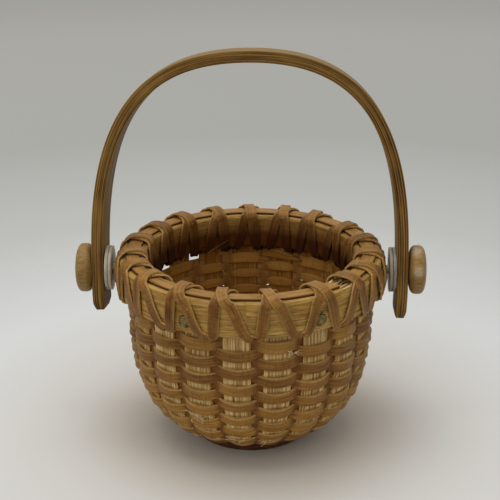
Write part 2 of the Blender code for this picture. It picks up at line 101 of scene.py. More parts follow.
# Painted shade on the staves beside each strand that crosses outside them, darkening them towards their
# tone colour
STAVE_PAINTED_SHADE = 0.9
STAVE_SHADE_ABOVE = 0.5 * MM
STAVE_SHADE_BELOW = 1.0 * MM
STAVE_SHADE_EDGE = 0.4 * MM
WALL_RADIUS = 29.9 * MM
WALL_STRAIGHT = 5.9 * MM
WALL_DROP_SHARE = 0.735
WALL_FLOOR_SHARE = 0.55
WALL_STEPS = 160
INSIDE_BLEND = 0.9 * MM
INSIDE_DEPTH = 5.0 * MM
SEAT_RADIUS = 13.5 * MM
SEAT_HEIGHT = 3.05 * MM
SEAT_ANGLE = math.radians(6)

# The crowned section of split cane: its corners as shares of half its width and half its
# thickness, and where its outer skin shows
CANE_SIDE_SHARES = np.array((-0.8, 0, 0.8, 1, 1, 0.94, 0.84, 0.5, 0, -0.5, -0.84, -0.94, -1, -1))
CANE_RISE_SHARES = np.array((-1, -1, -1, -0.75, 0.2, 0.8, 1, 0.86, 0.8, 0.86, 1, 0.8, 0.2, -0.75))
CANE_SKIN_SHARES = np.array((0, 0, 0, 0, 0, 0.2, 0.85, 1, 1, 1, 0.85, 0.2, 0, 0))
# On the weaver only the top edge takes the pale edge colour, partly cut fibre and partly a painted
# highlight; the bottom edge keeps the darker skin colour, painted shade
WEAVER_SKIN_AND_TOP_HIGHLIGHT_SHARES = np.array((0, 0, 0, 1, 1, 1, 1, 1, 1, 1, 0.85, 0.2, 0, 0))

# Cane weaver, with its sways spaced in crossings. Its taper and the painted shade at its tips, where it
# passes in behind the staves, go by how far it lies outside the staves, from -1 to 1, and its tones by
# rows down from the rim
WEAVER_WIDTH = 2.65 * MM
WEAVER_WIDTH_SWAY = (2.3, 0.05)
WEAVER_TAPER = ((-1, -0.75, -0.54, -0.3, 0, 0.6, 1), (1, 0.93, 0.62, 0.95, 1, 1, 1))
WEAVER_THICKNESS = 0.55 * MM
WEAVER_FILL = 0.85
WEAVER_PITCH = 2.3 * MM
WEAVER_TOP_DROP = 2.75 * MM
WEAVER_SWAY = (1.3, 0.11 * MM)
WEAVER_TILT_SWAY = (1.7, math.radians(9))
WEAVER_START_COUNT = -4
WEAVER_CROSSINGS = 334
WEAVER_FIRST_SHARE = 1.13
WEAVER_FIRST_ROWS = (0.9, 1.1)
WEAVER_SHOWN_CROSSINGS = 268
WEAVER_FOOT_CROSSINGS = 4
WEAVER_FOOT_WIDTH = 2.55 * MM
WEAVER_FOOT_THICKNESS = 0.4 * MM
WEAVER_BOW = 0.65 * MM
WEAVER_BOW_SWAY = (1.9, 0.25)
WEAVER_BOW_ROWS = (8.5, 12.5)
WEAVER_INNER_BOW = 0.05 * MM
WEAVER_DIP = 0.5 * MM
WEAVER_SQUARENESS = 0.5
WEAVER_STEPS = 14
WEAVER_TIP_PAINTED_SHADE = ((-1, -0.62, -0.38, 0, 0.35), (0, 0.1, 1, 0.7, 0))
WEAVER_TIP_SHADE_DARKNESS = 0.6
# The dark tone of the last rows by the base is partly their own colour and partly painted shade
WEAVER_TONES = ((0, 0.8, 1.6, 4, 6, 9, 13, 14.5), (0.75, 0.7, 0.0, 0.05, 0.5, 0.9, 0.75, 0.0))
WEAVER_TONE_SWAY = (3.1, 0.35)

# Tail of the weaver, by crossings of the first row, and its drop below the rim
TAIL_START_CROSSING = 9.6
TAIL_END_CROSSING = 14.8
TAIL_DROP = 1.2 * MM
TAIL_SWAY = (1.1, 0.1 * MM)
TAIL_TIP_SHARES = ((0, 0.7), (0.5, 1))
TAIL_STEPS = 60

# Loose end of cane inside, as angle, drop below the rim, lift off the wall and width in millimetres
LOOSE_END = ((175.5, 2.2, -1.3, 2.3), (171, 2.1, -1.6, 2.5), (166, 2.4, -1.8, 2.4), (160, 2.9, -1.6, 1.7),
             (153, 3.3, -1.4, 0.3))
LOOSE_END_STEPS = 10
# The loose end takes only part of the painted shade inside the bowl
LOOSE_END_INSIDE_SHADING = 0.35

# Hairs, and the places where fibres are loose: drop below the rim, angle, count, length and seed
HAIR_SIDE = np.array((0.31, 0.77, 0.55))
HAIR_CORNERS = 6
HAIR_TIP_SHARE = 0.35
FRAYS = ((23.7 * MM, math.radians(-23), 9, 2.6 * MM, 81),
         (30.0 * MM, math.radians(-5), 7, 2.2 * MM, 82),
         (31.5 * MM, math.radians(12), 5, 1.6 * MM, 83),
         (4.9 * MM, math.radians(19), 6, 1.6 * MM, 84),
         (2.4 * MM, math.radians(-158), 6, 1.8 * MM, 85))
FRAY_SPREAD = 0.6 * MM
FRAY_SPOTS = 6
FRAY_STEPS = 5
FRAY_BEND = 1.1
FRAY_DOWN_SHARE = 1 / 7
FRAY_ROUND_SHARE = 1 / 5
FRAY_LIFT = 3.4 * WEAVER_THICKNESS
FRAY_CLIMBS = (-0.15 * MM, 0.3 * MM)
FRAY_RADII = (0.1 * MM, 0.16 * MM)
KNOB_FIBRE = np.array(((0, 0, -0.4), (0, 0, 0.3), (0.1, 0, 0.9))) * MM
KNOB_FIBRE_RADIUS = 0.07 * MM
STRAW_RADII = np.array((25.6, 25.1, 24.9)) * MM
STRAW_ANGLES = np.radians((209, 202, 196))
STRAW_HEIGHTS = np.array((39.9, 41.6, 43.1)) * MM
STRAW_RADIUS = 0.13 * MM
STRAW_FLATNESS = 0.6
STRAW_STEPS = 8

# Splinters at the two torn ends of the cap, and slivers along the hoop beside them
SPLINTER_COUNT = 7
SPLINTER_STEPS = 4
SPLINTER_REACHES = (0.8 * MM, 2.8 * MM)
SPLINTER_INSET = 0.5 * MM
SPLINTER_DROPS = (-0.1 * MM, 0.4 * MM)
SPLINTER_SWING = 0.7 * MM
SPLINTER_CLIMB = 0.6 * MM
SPLINTER_RADII = (0.14 * MM, 0.34 * MM)
SPLINTER_FLATNESS = 0.5
SLIVER_INSETS = (0.3 * MM, 2.2 * MM)
SLIVER_STARTS = (-3 * MM, 1.6 * MM)
SLIVER_REACHES = (1.2 * MM, 2.6 * MM)
SLIVER_SWING = 0.3 * MM
SLIVER_RISES = (0, 0.5 * MM)
SLIVER_RADII = (0.14 * MM, 0.3 * MM)
SLIVER_FLATNESS = 0.6

# Rim. Pieces are the numbers that the flats of a section are cut into, across it and up it
OUTER_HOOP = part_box("outer_rim")
RIM_BOTTOM = OUTER_HOOP[0].z
RIM_TOP = OUTER_HOOP[1].z
OUTER_HOOP_OUTSIDE = OUTER_HOOP[1].x
OUTER_HOOP_THICKNESS = 2.75 * MM
INNER_HOOP_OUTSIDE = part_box("inner_rim")[1].x
INNER_HOOP_THICKNESS = 2.4 * MM
INNER_HOOP_INSIDE = INNER_HOOP_OUTSIDE - INNER_HOOP_THICKNESS
RIM_CENTRE = (OUTER_HOOP_OUTSIDE + INNER_HOOP_INSIDE) / 2
HOOP_EDGE = 0.55 * MM
HOOP_PIECES = (1, 20)
HOOP_RIDGES = (-0.05 * MM, 0.03 * MM)
HOOP_DRIFT = 0.02 * MM
HOOP_WAVES = (2, 6)
HOOP_STEPS = 240
CAP_RISE = 0.62 * MM
CAP_THICKNESS = 0.55 * MM
CAP_TOP = RIM_TOP + CAP_RISE
CAP_WIDTH = 3.7 * MM
CAP_END_ANGLE = math.radians(48)
CAP_END_GAP = 4.6 * MM
CAP_SWAY = (0.3, 0.15 * MM)
CAP_WIDTH_SWAY = (0.25, 0.05)
CAP_TONE = 0.3
CAP_TONE_SWAY = (0.4, 0.4)

# Cross lashing. A strap bows out or lies over the other round a place along its leg, which is a
# share of the way from its top to its foot
LASH_WIDTH = 2.7 * MM
LASH_WIDTH_SWAY = (14 * MM, 0.08)
LASH_FOOT_WIDTH = 2.05 * MM
LASH_FOOT_RISE = 3 * MM
LASH_THICKNESS = 0.58 * MM
LASH_GAP = 0.08 * MM
LASH_BOW = 0.45 * MM
LASH_BOW_SHARES = (0.5, 1.2)
LASH_BOW_PLACE = 0.68
LASH_BOW_REACH = 0.32
LASH_OVER_SHARES = ((0.13, 0.38), (1, 0))
LASH_TURN = 0.7 * MM
LASH_TURN_TUCK = 0.14 * MM
LASH_APEX_ANGLE = math.radians(4.8)
LASH_APEX_DEGREES = 1.4
LASH_OVER_FOOT = 1.35 * MM
LASH_UNDER_FOOT = 0.15 * MM
LASH_INNER_FOOT = 1.38 * MM
LASH_ARCH = 0.3 * MM
LASH_ARCH_SHARES = (0.1, 1.1)
LASH_ARCH_DROP = 1.1 * MM
LASH_ARCH_SPOTS = 9
LASH_OUTER_POWER = 2.2
LASH_INNER_POWER = 2.8
LASH_SWING_SHARE = -0.07
LASH_PIN_BOW = 0.84 * MM
LASH_PIN_REACH = math.radians(13)
LASH_PIN_CLEARANCE = 2.7 * MM
LASH_STEPS = 5
LASH_SMOOTHINGS = 3
LASH_TONE = 0.15
# The strap tops over the cap take a lighter tone, a painted highlight where the light from above falls
LASH_TOP_PAINTED_LIGHT = 0.5
LASH_TONE_SWAY = (22 * MM, 0.4)

# How far the top of a turn leans from its usual place, in degrees by the gap that it starts from
APEX_SHIFTS = {-4: -4, -3: -6.5, -2: -3.5, -1: -2.5, 0: -0.3, 1: 5.2, 2: 3.4, 7: 4, 8: 2, 9: 2}
UNDER_SHIFTS = {2: 5}

# Base
BASE_EDGE = 0.8 * MM
BASE_EDGE_SPOTS = 6
BASE_BEVEL_SHARE = 0.3
BASE_LIP = 2.3 * MM
BASE_GROOVE = 1.9 * MM
BASE_GROOVE_DEPTH = 2.4 * MM
BASE_SEGMENTS = 128

# Nails, whose heads are painted dark towards their rims, a painted shadow ring, from the first to the
# second share of their radius
NAIL_COUNT = 4
NAIL_HEAD_SHARE = 1.25
NAIL_HEAD_RISE = 0.42 * MM
NAIL_HEAD_STEPS = 6
NAIL_SHANK = 2 * MM
NAIL_SHANK_RADIUS = 0.45 * MM
NAIL_SHADOW_SHARES = (0.82, 0.92)
NAIL_SEGMENTS = 28

# Pegs, washers and knobs
PIVOT_HEIGHT = (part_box("knob_right")[0].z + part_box("knob_right")[1].z) / 2
PIN_EDGE = 0.3 * MM
PIN_EDGE_SPOTS = 6
PIN_SEGMENTS = 32
WASHER_BORE = 1.3 * MM
WASHER_EDGE = 0.07 * MM
WASHER_SPREAD = 0.04 * MM
WASHER_SEGMENTS = 72
KNOB_FULLNESS = 2.6
KNOB_FACE_FULLNESS = 3.4
KNOB_STEPS = 26
KNOB_SEGMENTS = 64

# Worn spots on the right knob, and their size
WORN_COLOUR = (0.5, 0.42, 0.3)
WORN_SHARE = 0.5
WORN_RAGGEDNESS = 5.0 * MM
WORN_SPOTS = (((42.4 * MM, -6.0 * MM, 46.3 * MM), 1.3 * MM),
              ((41.7 * MM, -1.8 * MM, 50.4 * MM), 1.6 * MM))

# Bail
HANDLE_SOLID_THICKNESS = 2.7 * MM
HANDLE_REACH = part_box("handle")[1].x - HANDLE_SOLID_THICKNESS / 2
HANDLE_WIDTH = 8.7 * MM
HANDLE_THICKNESS = 3.0 * MM
HANDLE_RISE = 55.8 * MM
HANDLE_SHOULDER = 4.0 * MM
SHOULDER_RISE_SHARE = 0.76
CROWN_REACH_SHARE = 0.63
HANDLE_LEAN = math.radians(8.5)
LEG_TUCK = math.radians(3)
LEG_DROPS = {-1: 10.4 * MM, 1: 12.0 * MM}
LEFT_LEG_TWIST = math.radians(5)
HANDLE_STEPS = 60
LEG_STEPS = 12
HANDLE_EDGE = 0.3 * MM
HANDLE_PIECES = (18, 5)
HANDLE_RIDGE = 0.035 * MM
HANDLE_RIDGE_SWAY = (16 * MM, 0.03 * MM)
HANDLE_INNER_EDGE_SHARE = 0.45
END_CHAMFERS = ((2.2 * MM, 0.28), (1.4 * MM, 0.34))

# Looks
BUMP_DEPTH = 0.05 * MM
STAVE_BUMP = 0.12 * MM
RIM_BUMP = 0.06 * MM
HANDLE_BUMP = 0.07 * MM
TURNED_BUMP = 0.04 * MM
NYLON_BUMP = 0.03 * MM
FLECK_COLOUR = (0.6, 0.45, 0.24)
# Inside the bowl the colour is painted as in shade: drawn half to the body colour and multiplied by each
# look's inside_shading colour, which on the cane lightens it, partly its own inner colour and partly
# painted light. The roughness rises there too
INSIDE_SHADING_BODY_SHARE = 0.5
INSIDE_ROUGHNESS = 0.9


def unit(vectors):
    """The vectors of an array at length one."""
    return vectors / np.linalg.norm(vectors, axis=-1, keepdims=True)


def outward(angles):
    """Level directions away from the basket's axis."""
    angles = np.asarray(angles, float)
    return np.stack([np.sin(angles), -np.cos(angles), np.zeros_like(angles)], axis=-1)


def at(radii, angles, heights):
    """Points by radius, angle round the basket and height."""
    points = outward(angles) * np.asarray(radii, float)[..., None]
    points[..., 2] = heights
    return points


def wander(places, spacing, size, seed):
    """Random offsets that change smoothly along the places, the same in each run."""
    steps = np.asarray(places, float) / spacing
    first = math.floor(steps.min())
    count = math.floor(steps.max()) - first + 2
    knots = np.random.default_rng(seed).uniform(-size, size, count)
    below = np.floor(steps).astype(int)
    share = steps - below
    share = share * share * (3 - 2 * share)
    low = knots[below - first]
    high = knots[below - first + 1]
    return low + (high - low) * share


def smooth_run(points, steps):
    """A Catmull-Rom run through the points, with each stretch cut into steps."""
    points = np.asarray(points, float)
    padded = np.concatenate([2 * points[:1] - points[1:2], points, 2 * points[-1:] - points[-2:-1]])
    shares = np.arange(steps)[:, None] / steps
    rows = []
    for index in range(len(points) - 1):
        before, start, end, after = padded[index:index + 4]
        rows.append(0.5 * (2 * start + (end - before) * shares
                           + (2 * before - 5 * start + 4 * end - after) * shares ** 2
                           + (3 * start - before - 3 * end + after) * shares ** 3))
    rows.append(points[-1:])
    return np.concatenate(rows)


def lengths_along(path):
    """The distance from the start to each point of a path."""
    runs = np.linalg.norm(np.diff(path, axis=0), axis=-1)
    return np.concatenate([[0.0], np.cumsum(runs)])


def bezier(ends, steps):
    """A curve from the first to the last of four points, pulled towards the two between."""
    share = np.linspace(0, 1, steps)[:, None]
    rest = 1 - share
    return (ends[0] * rest ** 3 + ends[1] * (3 * rest ** 2 * share)
            + ends[2] * (3 * rest * share ** 2) + ends[3] * share ** 3)


def bar_outline(width, height, edge, pieces):
    """The outline of a bar with rounded edges, its flats cut into pieces."""
    corner = np.linspace(0, QUARTER_TURN, CORNER_SPOTS)
    arcs = []
    for side, rise, quarter in ((1, -1, -1), (1, 1, 0), (-1, 1, 1), (-1, -1, 2)):
        angles = corner + quarter * QUARTER_TURN
        arcs.append(np.stack([side * (width / 2 - edge) + edge * np.cos(angles),
                              rise * (height / 2 - edge) + edge * np.sin(angles)], axis=-1))
    rows = []
    for index, arc in enumerate(arcs):
        after = arcs[(index + 1) % len(arcs)][0]
        cuts = pieces[0] if index % 2 else pieces[1]
        shares = np.arange(1, cuts)[:, None] / cuts
        rows += [arc, arc[-1] + (after - arc[-1]) * shares]
    return np.concatenate(rows)


class Shape:
    """Points and faces, with grain coordinates on the face corners in millimetres.

    skin is 1 where a strip shows its outer skin and 0 where it shows its edge colour: cut fibre, which on
    the weaver's top edge is partly a painted highlight, and painted shadow on the cap. tone shifts the
    colour from place to place, as random tone, as painted shade on the staves, at the weaver's tips and
    on the nail heads, and as a painted highlight on the strap tops. Both have one value for each point.
    """

    def __init__(self, points, faces, grain, skin, tone):
        self.points = points
        self.faces = faces
        self.grain = grain
        self.skin = skin
        self.tone = tone

    def placed(self, matrix):
        rows = np.array(matrix)
        self.points = self.points @ rows[:3, :3].T + rows[:3, 3]
        return self


def joined(shapes):
    """Several shapes as one."""
    start = 0
    faces = []
    for shape in shapes:
        faces += [tuple(start + corner for corner in face) for face in shape.faces]
        start += len(shape.points)
    points, grain, skin, tone = (np.concatenate([getattr(shape, key) for shape in shapes])
                                 for key in ("points", "grain", "skin", "tone"))
    return Shape(points, faces, grain, skin, tone)


def sweep(path, outs, sections, skin, tone=None, closed=False):
    """Draw a section along a path. sections holds (side, rise) pairs for each ring."""
    count, corners = sections.shape[:2]
    if closed:
        along = unit(np.roll(path, -1, 0) - np.roll(path, 1, 0))
    else:
        along = unit(np.gradient(path, axis=0))
    across = unit(np.cross(along, outs))
    up = np.cross(across, along)
    points = path[:, None] + across[:, None] * sections[..., :1] + up[:, None] * sections[..., 1:]
    rings = np.arange(count if closed else count - 1)
    low = rings[:, None] * corners + np.arange(corners)[None]
    high = (rings[:, None] + 1) % count * corners + np.arange(corners)[None]
    ahead = np.roll(np.arange(corners), -1)
    faces = np.stack([low, high, high[:, ahead], low[:, ahead]], axis=-1).reshape(-1, 4)
    section = np.concatenate([sections.mean(0), sections.mean(0)[:1]])
    around = lengths_along(section) / MM
    distance = lengths_along(np.concatenate([path, path[:1]])) / MM
    u = np.stack([around[:-1], around[:-1], around[1:], around[1:]], axis=-1)
    v = np.stack([distance[rings], distance[rings + 1], distance[rings + 1], distance[rings]], axis=-1)
    grain = np.stack(np.broadcast_arrays(u[None], v[:, None]), axis=-1).reshape(-1, 2)
    faces = [tuple(face) for face in faces.tolist()]
    if not closed:
        last = (count - 1) * corners
        faces.append(tuple(range(corners)))
        faces.append(tuple(last + corner for corner in reversed(range(corners))))
        grain = np.concatenate([grain, section[:-1] / MM, section[-2::-1] / MM])
    tone = np.zeros(count) if tone is None else tone
    return Shape(points.reshape(-1, 3), faces, grain,
                 np.broadcast_to(skin, (count, corners)).reshape(-1),
                 np.repeat(tone, corners))


def turn(outline, segments):
    """Turn an outline of (radius, height) about Z. One that starts and ends on the axis closes."""
    outline = np.asarray(outline, float)
    points = []
    rows = []
    for radius, height in outline:
        angles = np.arange(segments if radius else 1) * math.tau / segments
        rows.append([len(points) + step % len(angles) for step in range(segments + 1)])
        points += [(radius * math.cos(angle), radius * math.sin(angle), height) for angle in angles]
    reach = list(lengths_along(outline) / MM)
    if outline[0][0] != 0:
        rows.append(rows[0])
        reach.append(reach[-1] + np.linalg.norm(outline[0] - outline[-1]) / MM)
    girth = math.tau * outline[:, 0].max() / MM / segments
    faces = []
    grain = []
    for low, high, start, end in zip(rows, rows[1:], reach, reach[1:]):
        for step in range(segments):
            corners = [(low[step], step, start), (low[step + 1], step + 1, start),
                       (high[step + 1], step + 1, end), (high[step], step, end)]
            if low[step] == low[step + 1]:
                del corners[1]
            elif high[step] == high[step + 1]:
                del corners[2]
            faces.append(tuple(corner for corner, _, _ in corners))
            grain += [(girth * place, height) for _, place, height in corners]
    return Shape(np.array(points), faces, np.array(grain), np.ones(len(points)), np.zeros(len(points)))


def inside_share(points):
    """1 for points inside the bowl, where the colour is painted as in shade (lighter on the cane, partly
    its inner side's own colour and partly painted light), and 0 outside it.
    """
    radii = np.hypot(points[:, 0], points[:, 1])
    walls = np.interp(points[:, 2], WALL[::-1, 1], WALL[::-1, 0])
    depth = np.clip((RIM_TOP - points[:, 2]) / INSIDE_DEPTH, 0, 1)
    return np.clip((walls - radii) / INSIDE_BLEND + 0.5, 0, 1) * depth


def linked(name, data):
    """A new object in the scene."""
    made = bpy.data.objects.new(name, data)
    bpy.context.scene.collection.objects.link(made)
    return made


def add_piece(name, shape, look, body, nodes=(), inside_shading_scale=1.0):
    """Make the mesh of a piece, let it ride on its body and stand for its CAD nodes."""
    mesh = bpy.data.meshes.new(name)
    mesh.from_pydata(shape.points.tolist(), [], shape.faces)
    grain = shape.grain + GRAIN_SHIFT * len(bpy.data.meshes)
    mesh.uv_layers.new(name="grain").data.foreach_set("uv", grain.astype(np.float32).ravel())
    for label, values in (("skin", shape.skin), ("tone", shape.tone),
                          ("inside_shading", inside_shading_scale * inside_share(shape.points))):
        layer = mesh.attributes.new(label, "FLOAT", "POINT")
        layer.data.foreach_set("value", values.astype(np.float32))
    mesh.materials.append(look)
    mesh.shade_smooth()
    mesh.set_sharp_from_angle(angle=SHARP_ANGLE)
    piece = linked(name, mesh)
    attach(piece, body)
    if nodes:
        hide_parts(*nodes)
    return piece


class Look:
    """A Principled material whose nodes are added one call at a time."""

    def __init__(self, name, roughness=0.5, metallic=0.0, specular=0.5):
        self.material = bpy.data.materials.new(name)
        self.material.use_nodes = True
        self.tree = self.material.node_tree
        self.shader = self.tree.nodes["Principled BSDF"]
        self.shader.inputs["Roughness"].default_value = roughness
        self.shader.inputs["Metallic"].default_value = metallic
        self.shader.inputs["Specular IOR Level"].default_value = specular

    def put(self, value, socket):
        """Set a socket to a value, or link it where the value is a socket."""
        if isinstance(value, bpy.types.NodeSocket):
            self.tree.links.new(value, socket)
        else:
            socket.default_value = value

    def node(self, kind, inputs, **settings):
        made = self.tree.nodes.new(kind)
        for key, value in settings.items():
            setattr(made, key, value)
        for key, value in inputs.items():
            self.put(value, made.inputs[key])
        return made

    def grain(self, across, along, shift=0.0):
        """Grain coordinates, with so many cells to the millimetre each way."""
        source = self.node("ShaderNodeUVMap", {}, uv_map="grain")
        return self.node("ShaderNodeMapping", {"Vector": source.outputs["UV"],
                                               "Scale": (across, along, 1),
                                               "Location": (shift, shift, shift)}).outputs["Vector"]

    def space(self, scale):
        """Coordinates in space, with so many cells to the millimetre each way."""
        source = self.node("ShaderNodeTexCoord", {})
        cells = [value / MM for value in scale]
        return self.node("ShaderNodeMapping", {"Vector": source.outputs["Object"],
                                               "Scale": cells}).outputs["Vector"]

    def distance(self, spot):
        """How far each point lies from a spot."""
        source = self.node("ShaderNodeTexCoord", {}).outputs["Object"]
        made = self.node("ShaderNodeVectorMath", {0: source, 1: spot}, operation="DISTANCE")
        return made.outputs["Value"]

    def noise(self, vector, detail=3.0, roughness=0.55):
        return self.node("ShaderNodeTexNoise", {"Vector": vector, "Scale": 1.0, "Detail": detail,
                                                "Roughness": roughness}).outputs["Fac"]

    def attribute(self, name):
        return self.node("ShaderNodeAttribute", {}, attribute_name=name).outputs["Fac"]

    def ramp(self, factor, stops):
        made = self.node("ShaderNodeValToRGB", {"Fac": factor})
        elements = made.color_ramp.elements
        while len(elements) < len(stops):
            elements.new(1.0)
        for element, (place, colour) in zip(elements, stops):
            element.position = place
            element.color = (*colour, 1.0)
        return made.outputs["Color"]

    def span(self, value, low, high, start=0.0, end=1.0):
        """Map a value from low..high to start..end, held at both ends."""
        return self.node("ShaderNodeMapRange", {"Value": value, "From Min": low, "From Max": high,
                                                "To Min": start, "To Max": end}).outputs["Result"]

    def mix(self, factor, first, second, blend="MIX"):
        made = self.node("ShaderNodeMix", {}, data_type="RGBA", blend_type=blend)
        for value, socket in ((factor, made.inputs[0]), (first, made.inputs[6]),
                              (second, made.inputs[7])):
            self.put((*value, 1.0) if isinstance(value, tuple) else value, socket)
        return made.outputs[2]

    def tint(self, colour, value, low, high, amount, other):
        """Mix another colour in by up to an amount as a value goes from low to high."""
        return self.mix(self.span(value, low, high, 0.0, amount), colour, other)

    def combine(self, operation, first, second):
        made = self.node("ShaderNodeMath", {0: first, 1: second}, operation=operation)
        return made.outputs["Value"]

    def finish(self, colour, roughness=None, height=None, depth=BUMP_DEPTH):
        """Join the colour, roughness and bump height to the shader."""
        self.put(colour, self.shader.inputs["Base Color"])
        if roughness is not None:
            self.put(roughness, self.shader.inputs["Roughness"])
        if height is not None:
            bump = self.node("ShaderNodeBump", {"Height": height, "Strength": 1.0, "Distance": depth})
            self.put(bump.outputs["Normal"], self.shader.inputs["Normal"])
        return self.material


def fibrous(name, dark, body, light, across, along, roughness, contrast=0.3, tone_colour=None,
            edge_colour=None, pores=0.0, crinkle=0.0, depth=BUMP_DEPTH, stains=0.3, lines=0.0,
            flecks=0.0, inside_shading=(0.4, 0.25, 0.14)):
    """Wood or cane with streaks along its grain, and colour that drifts from place to place."""
    look = Look(name, specular=0.16)
    fine = look.noise(look.grain(across, along), detail=5.0, roughness=0.7)
    broad = look.noise(look.grain(across * 0.25, along * 0.6, 7.0), detail=3.0)
    drift = look.noise(look.grain(0.2, 0.11, 3.0), detail=3.0)
    stain = look.noise(look.grain(0.24, 0.13, 19.0), detail=4.0, roughness=0.65)
    low = 0.5 - contrast / 2
    high = 0.5 + contrast / 2
    streaks = look.span(fine, low, high)
    colour = look.ramp(streaks, [(0.0, dark), (0.45, body), (1.0, light)])
    colour = look.tint(colour, broad, 0.4, 0.7, 1.5 * stains, dark)
    colour = look.tint(colour, drift, 0.4, 0.7, 0.4, light)
    colour = look.tint(colour, stain, 0.48, 0.68, stains, dark)
    if tone_colour is not None:
        toned = look.mix(streaks, look.mix(0.5, dark, tone_colour), tone_colour)
        colour = look.mix(look.attribute("tone"), colour, toned)
    if edge_colour is not None:
        edge = look.mix(look.span(fine, low, high, 0.35, 0.0), edge_colour, dark)
        colour = look.mix(look.attribute("skin"), edge, colour)
        # A tone below 0 darkens the colour towards the dark one: painted shade at the weaver's tips
        colour = look.mix(look.combine("MULTIPLY", look.attribute("tone"), -1.0), colour, dark)
    if pores:
        specks = look.noise(look.grain(across * 1.6, along * 5, 11.0), detail=1.0)
        colour = look.tint(colour, specks, 0.62, 0.7, pores, tuple(0.3 * value for value in dark))
    if lines:
        threads = look.noise(look.grain(across * 1.3, along * 0.6, 23.0), detail=1.0)
        colour = look.tint(colour, threads, 0.56, 0.66, lines, light)
        colour = look.tint(colour, threads, 0.44, 0.34, lines, dark)
    height = fine
    if crinkle:
        ribs = look.noise(look.grain(0.3, 3.4, 5.0), detail=2.0, roughness=0.6)
        colour = look.tint(colour, ribs, 0.52, 0.72, crinkle, dark)
        height = look.combine("ADD", fine, ribs)
    if flecks:
        chips = look.noise(look.grain(1.1, 0.8, 31.0), detail=3.0, roughness=0.7)
        colour = look.tint(colour, chips, 0.66, 0.72, flecks, FLECK_COLOUR)
    # Painted shade inside the bowl, and on the cane partly painted light
    inside_shaded = look.mix(1.0, look.mix(INSIDE_SHADING_BODY_SHARE, colour, body), inside_shading, "MULTIPLY")
    colour = look.mix(look.attribute("inside_shading"), colour, inside_shaded)
    gloss = look.span(fine, 0.35, 0.65, roughness + 0.12, roughness - 0.06)
    rough = look.combine("MULTIPLY", look.attribute("inside_shading"), INSIDE_ROUGHNESS)
    return look.finish(colour, look.combine("MAXIMUM", gloss, rough), height, depth)


def wall_curve():
    """The middle line of a stave as rows of (radius, height), from the rim's bottom down."""
    drop = RIM_BOTTOM - WALL_STRAIGHT - SEAT_HEIGHT
    reach = WALL_RADIUS - SEAT_RADIUS
    top = np.array([WALL_RADIUS, RIM_BOTTOM - WALL_STRAIGHT])
    seat = np.array([SEAT_RADIUS, SEAT_HEIGHT])
    entry = np.array([math.cos(SEAT_ANGLE), math.sin(SEAT_ANGLE)])
    ends = (top, top - [0, drop * WALL_DROP_SHARE], seat + entry * (reach * WALL_FLOOR_SHARE), seat)
    return np.concatenate([[[WALL_RADIUS, RIM_BOTTOM]], bezier(ends, WALL_STEPS)])


WALL = wall_curve()
WALL_REACHES = lengths_along(WALL)


def wall_places(reaches, angles, lift=0.0):
    """Points of the wall at distances down from the rim, lifted off it, and its outward side."""
    radii = np.interp(reaches, WALL_REACHES, WALL[:, 0])
    heights = np.interp(reaches, WALL_REACHES, WALL[:, 1])
    heights = heights + np.clip(-np.asarray(reaches, float), 0, None)
    slopes = unit(np.gradient(WALL, axis=0))
    inward = np.interp(reaches, WALL_REACHES, slopes[:, 0])
    down = np.interp(reaches, WALL_REACHES, slopes[:, 1])
    outs = outward(angles) * -down[..., None]
    outs[..., 2] = inward
    outs = unit(outs)
    return at(radii, angles, heights) + outs * np.asarray(lift)[..., None], outs, radii


def stave_thickness(reaches):
    """How thick a stave is, thinner where it goes into the base."""
    return np.interp(WALL_REACHES[-1] - reaches, (0, STAVE_FOOT), (STAVE_FOOT_THICKNESS, STAVE_THICKNESS))


def stave_angle(index):
    return FIRST_STAVE_ANGLE + index * STAVE_ANGLE


def stave_sections(half_width, half_thickness, reaches, seed):
    """Sections of a flat strip whose two faces carry fine ridges along its length."""
    sides = np.linspace(-1, 1, STAVE_COLUMNS)
    slope = np.ones(STAVE_COLUMNS)
    slope[[0, -1]] = STAVE_EDGE_SHARE
    rng = np.random.default_rng(seed)
    faces = []
    for face in (-1, 1):
        rises = []
        for share in slope:
            ridge = rng.uniform(-STAVE_RIDGE, STAVE_RIDGE)
            ridge = ridge + wander(reaches, *STAVE_RIDGE_SWAY, rng.integers(1e9))
            rises.append(face * share * (half_thickness + ridge))
        pairs = np.stack([half_width[:, None] * sides, np.stack(rises, axis=-1)], axis=-1)
        faces.append(pairs if face < 0 else pairs[:, ::-1])
    return np.concatenate(faces, axis=1)


def stave_painted_shade(index, reaches):
    """Painted shade on a stave: how brown it is along the edges of the strands that cross outside it,
    where their shadow falls.
    """
    crossings = np.arange(1, WEAVER_CROSSINGS, 2)
    outside = crossings[(WEAVER_START_COUNT + crossings) % STAVE_COUNT == index]
    down = reaches[:, None] - weaver_reach(outside) - WEAVER_DIP
    below = np.interp(down - WEAVER_WIDTH / 2, (-STAVE_SHADE_EDGE, 0, STAVE_SHADE_BELOW), (0, 1, 0))
    above = np.interp(-down - WEAVER_WIDTH / 2, (-STAVE_SHADE_EDGE, 0, STAVE_SHADE_ABOVE), (0, 1, 0))
    return STAVE_PAINTED_SHADE * np.maximum(below, above).max(axis=1)


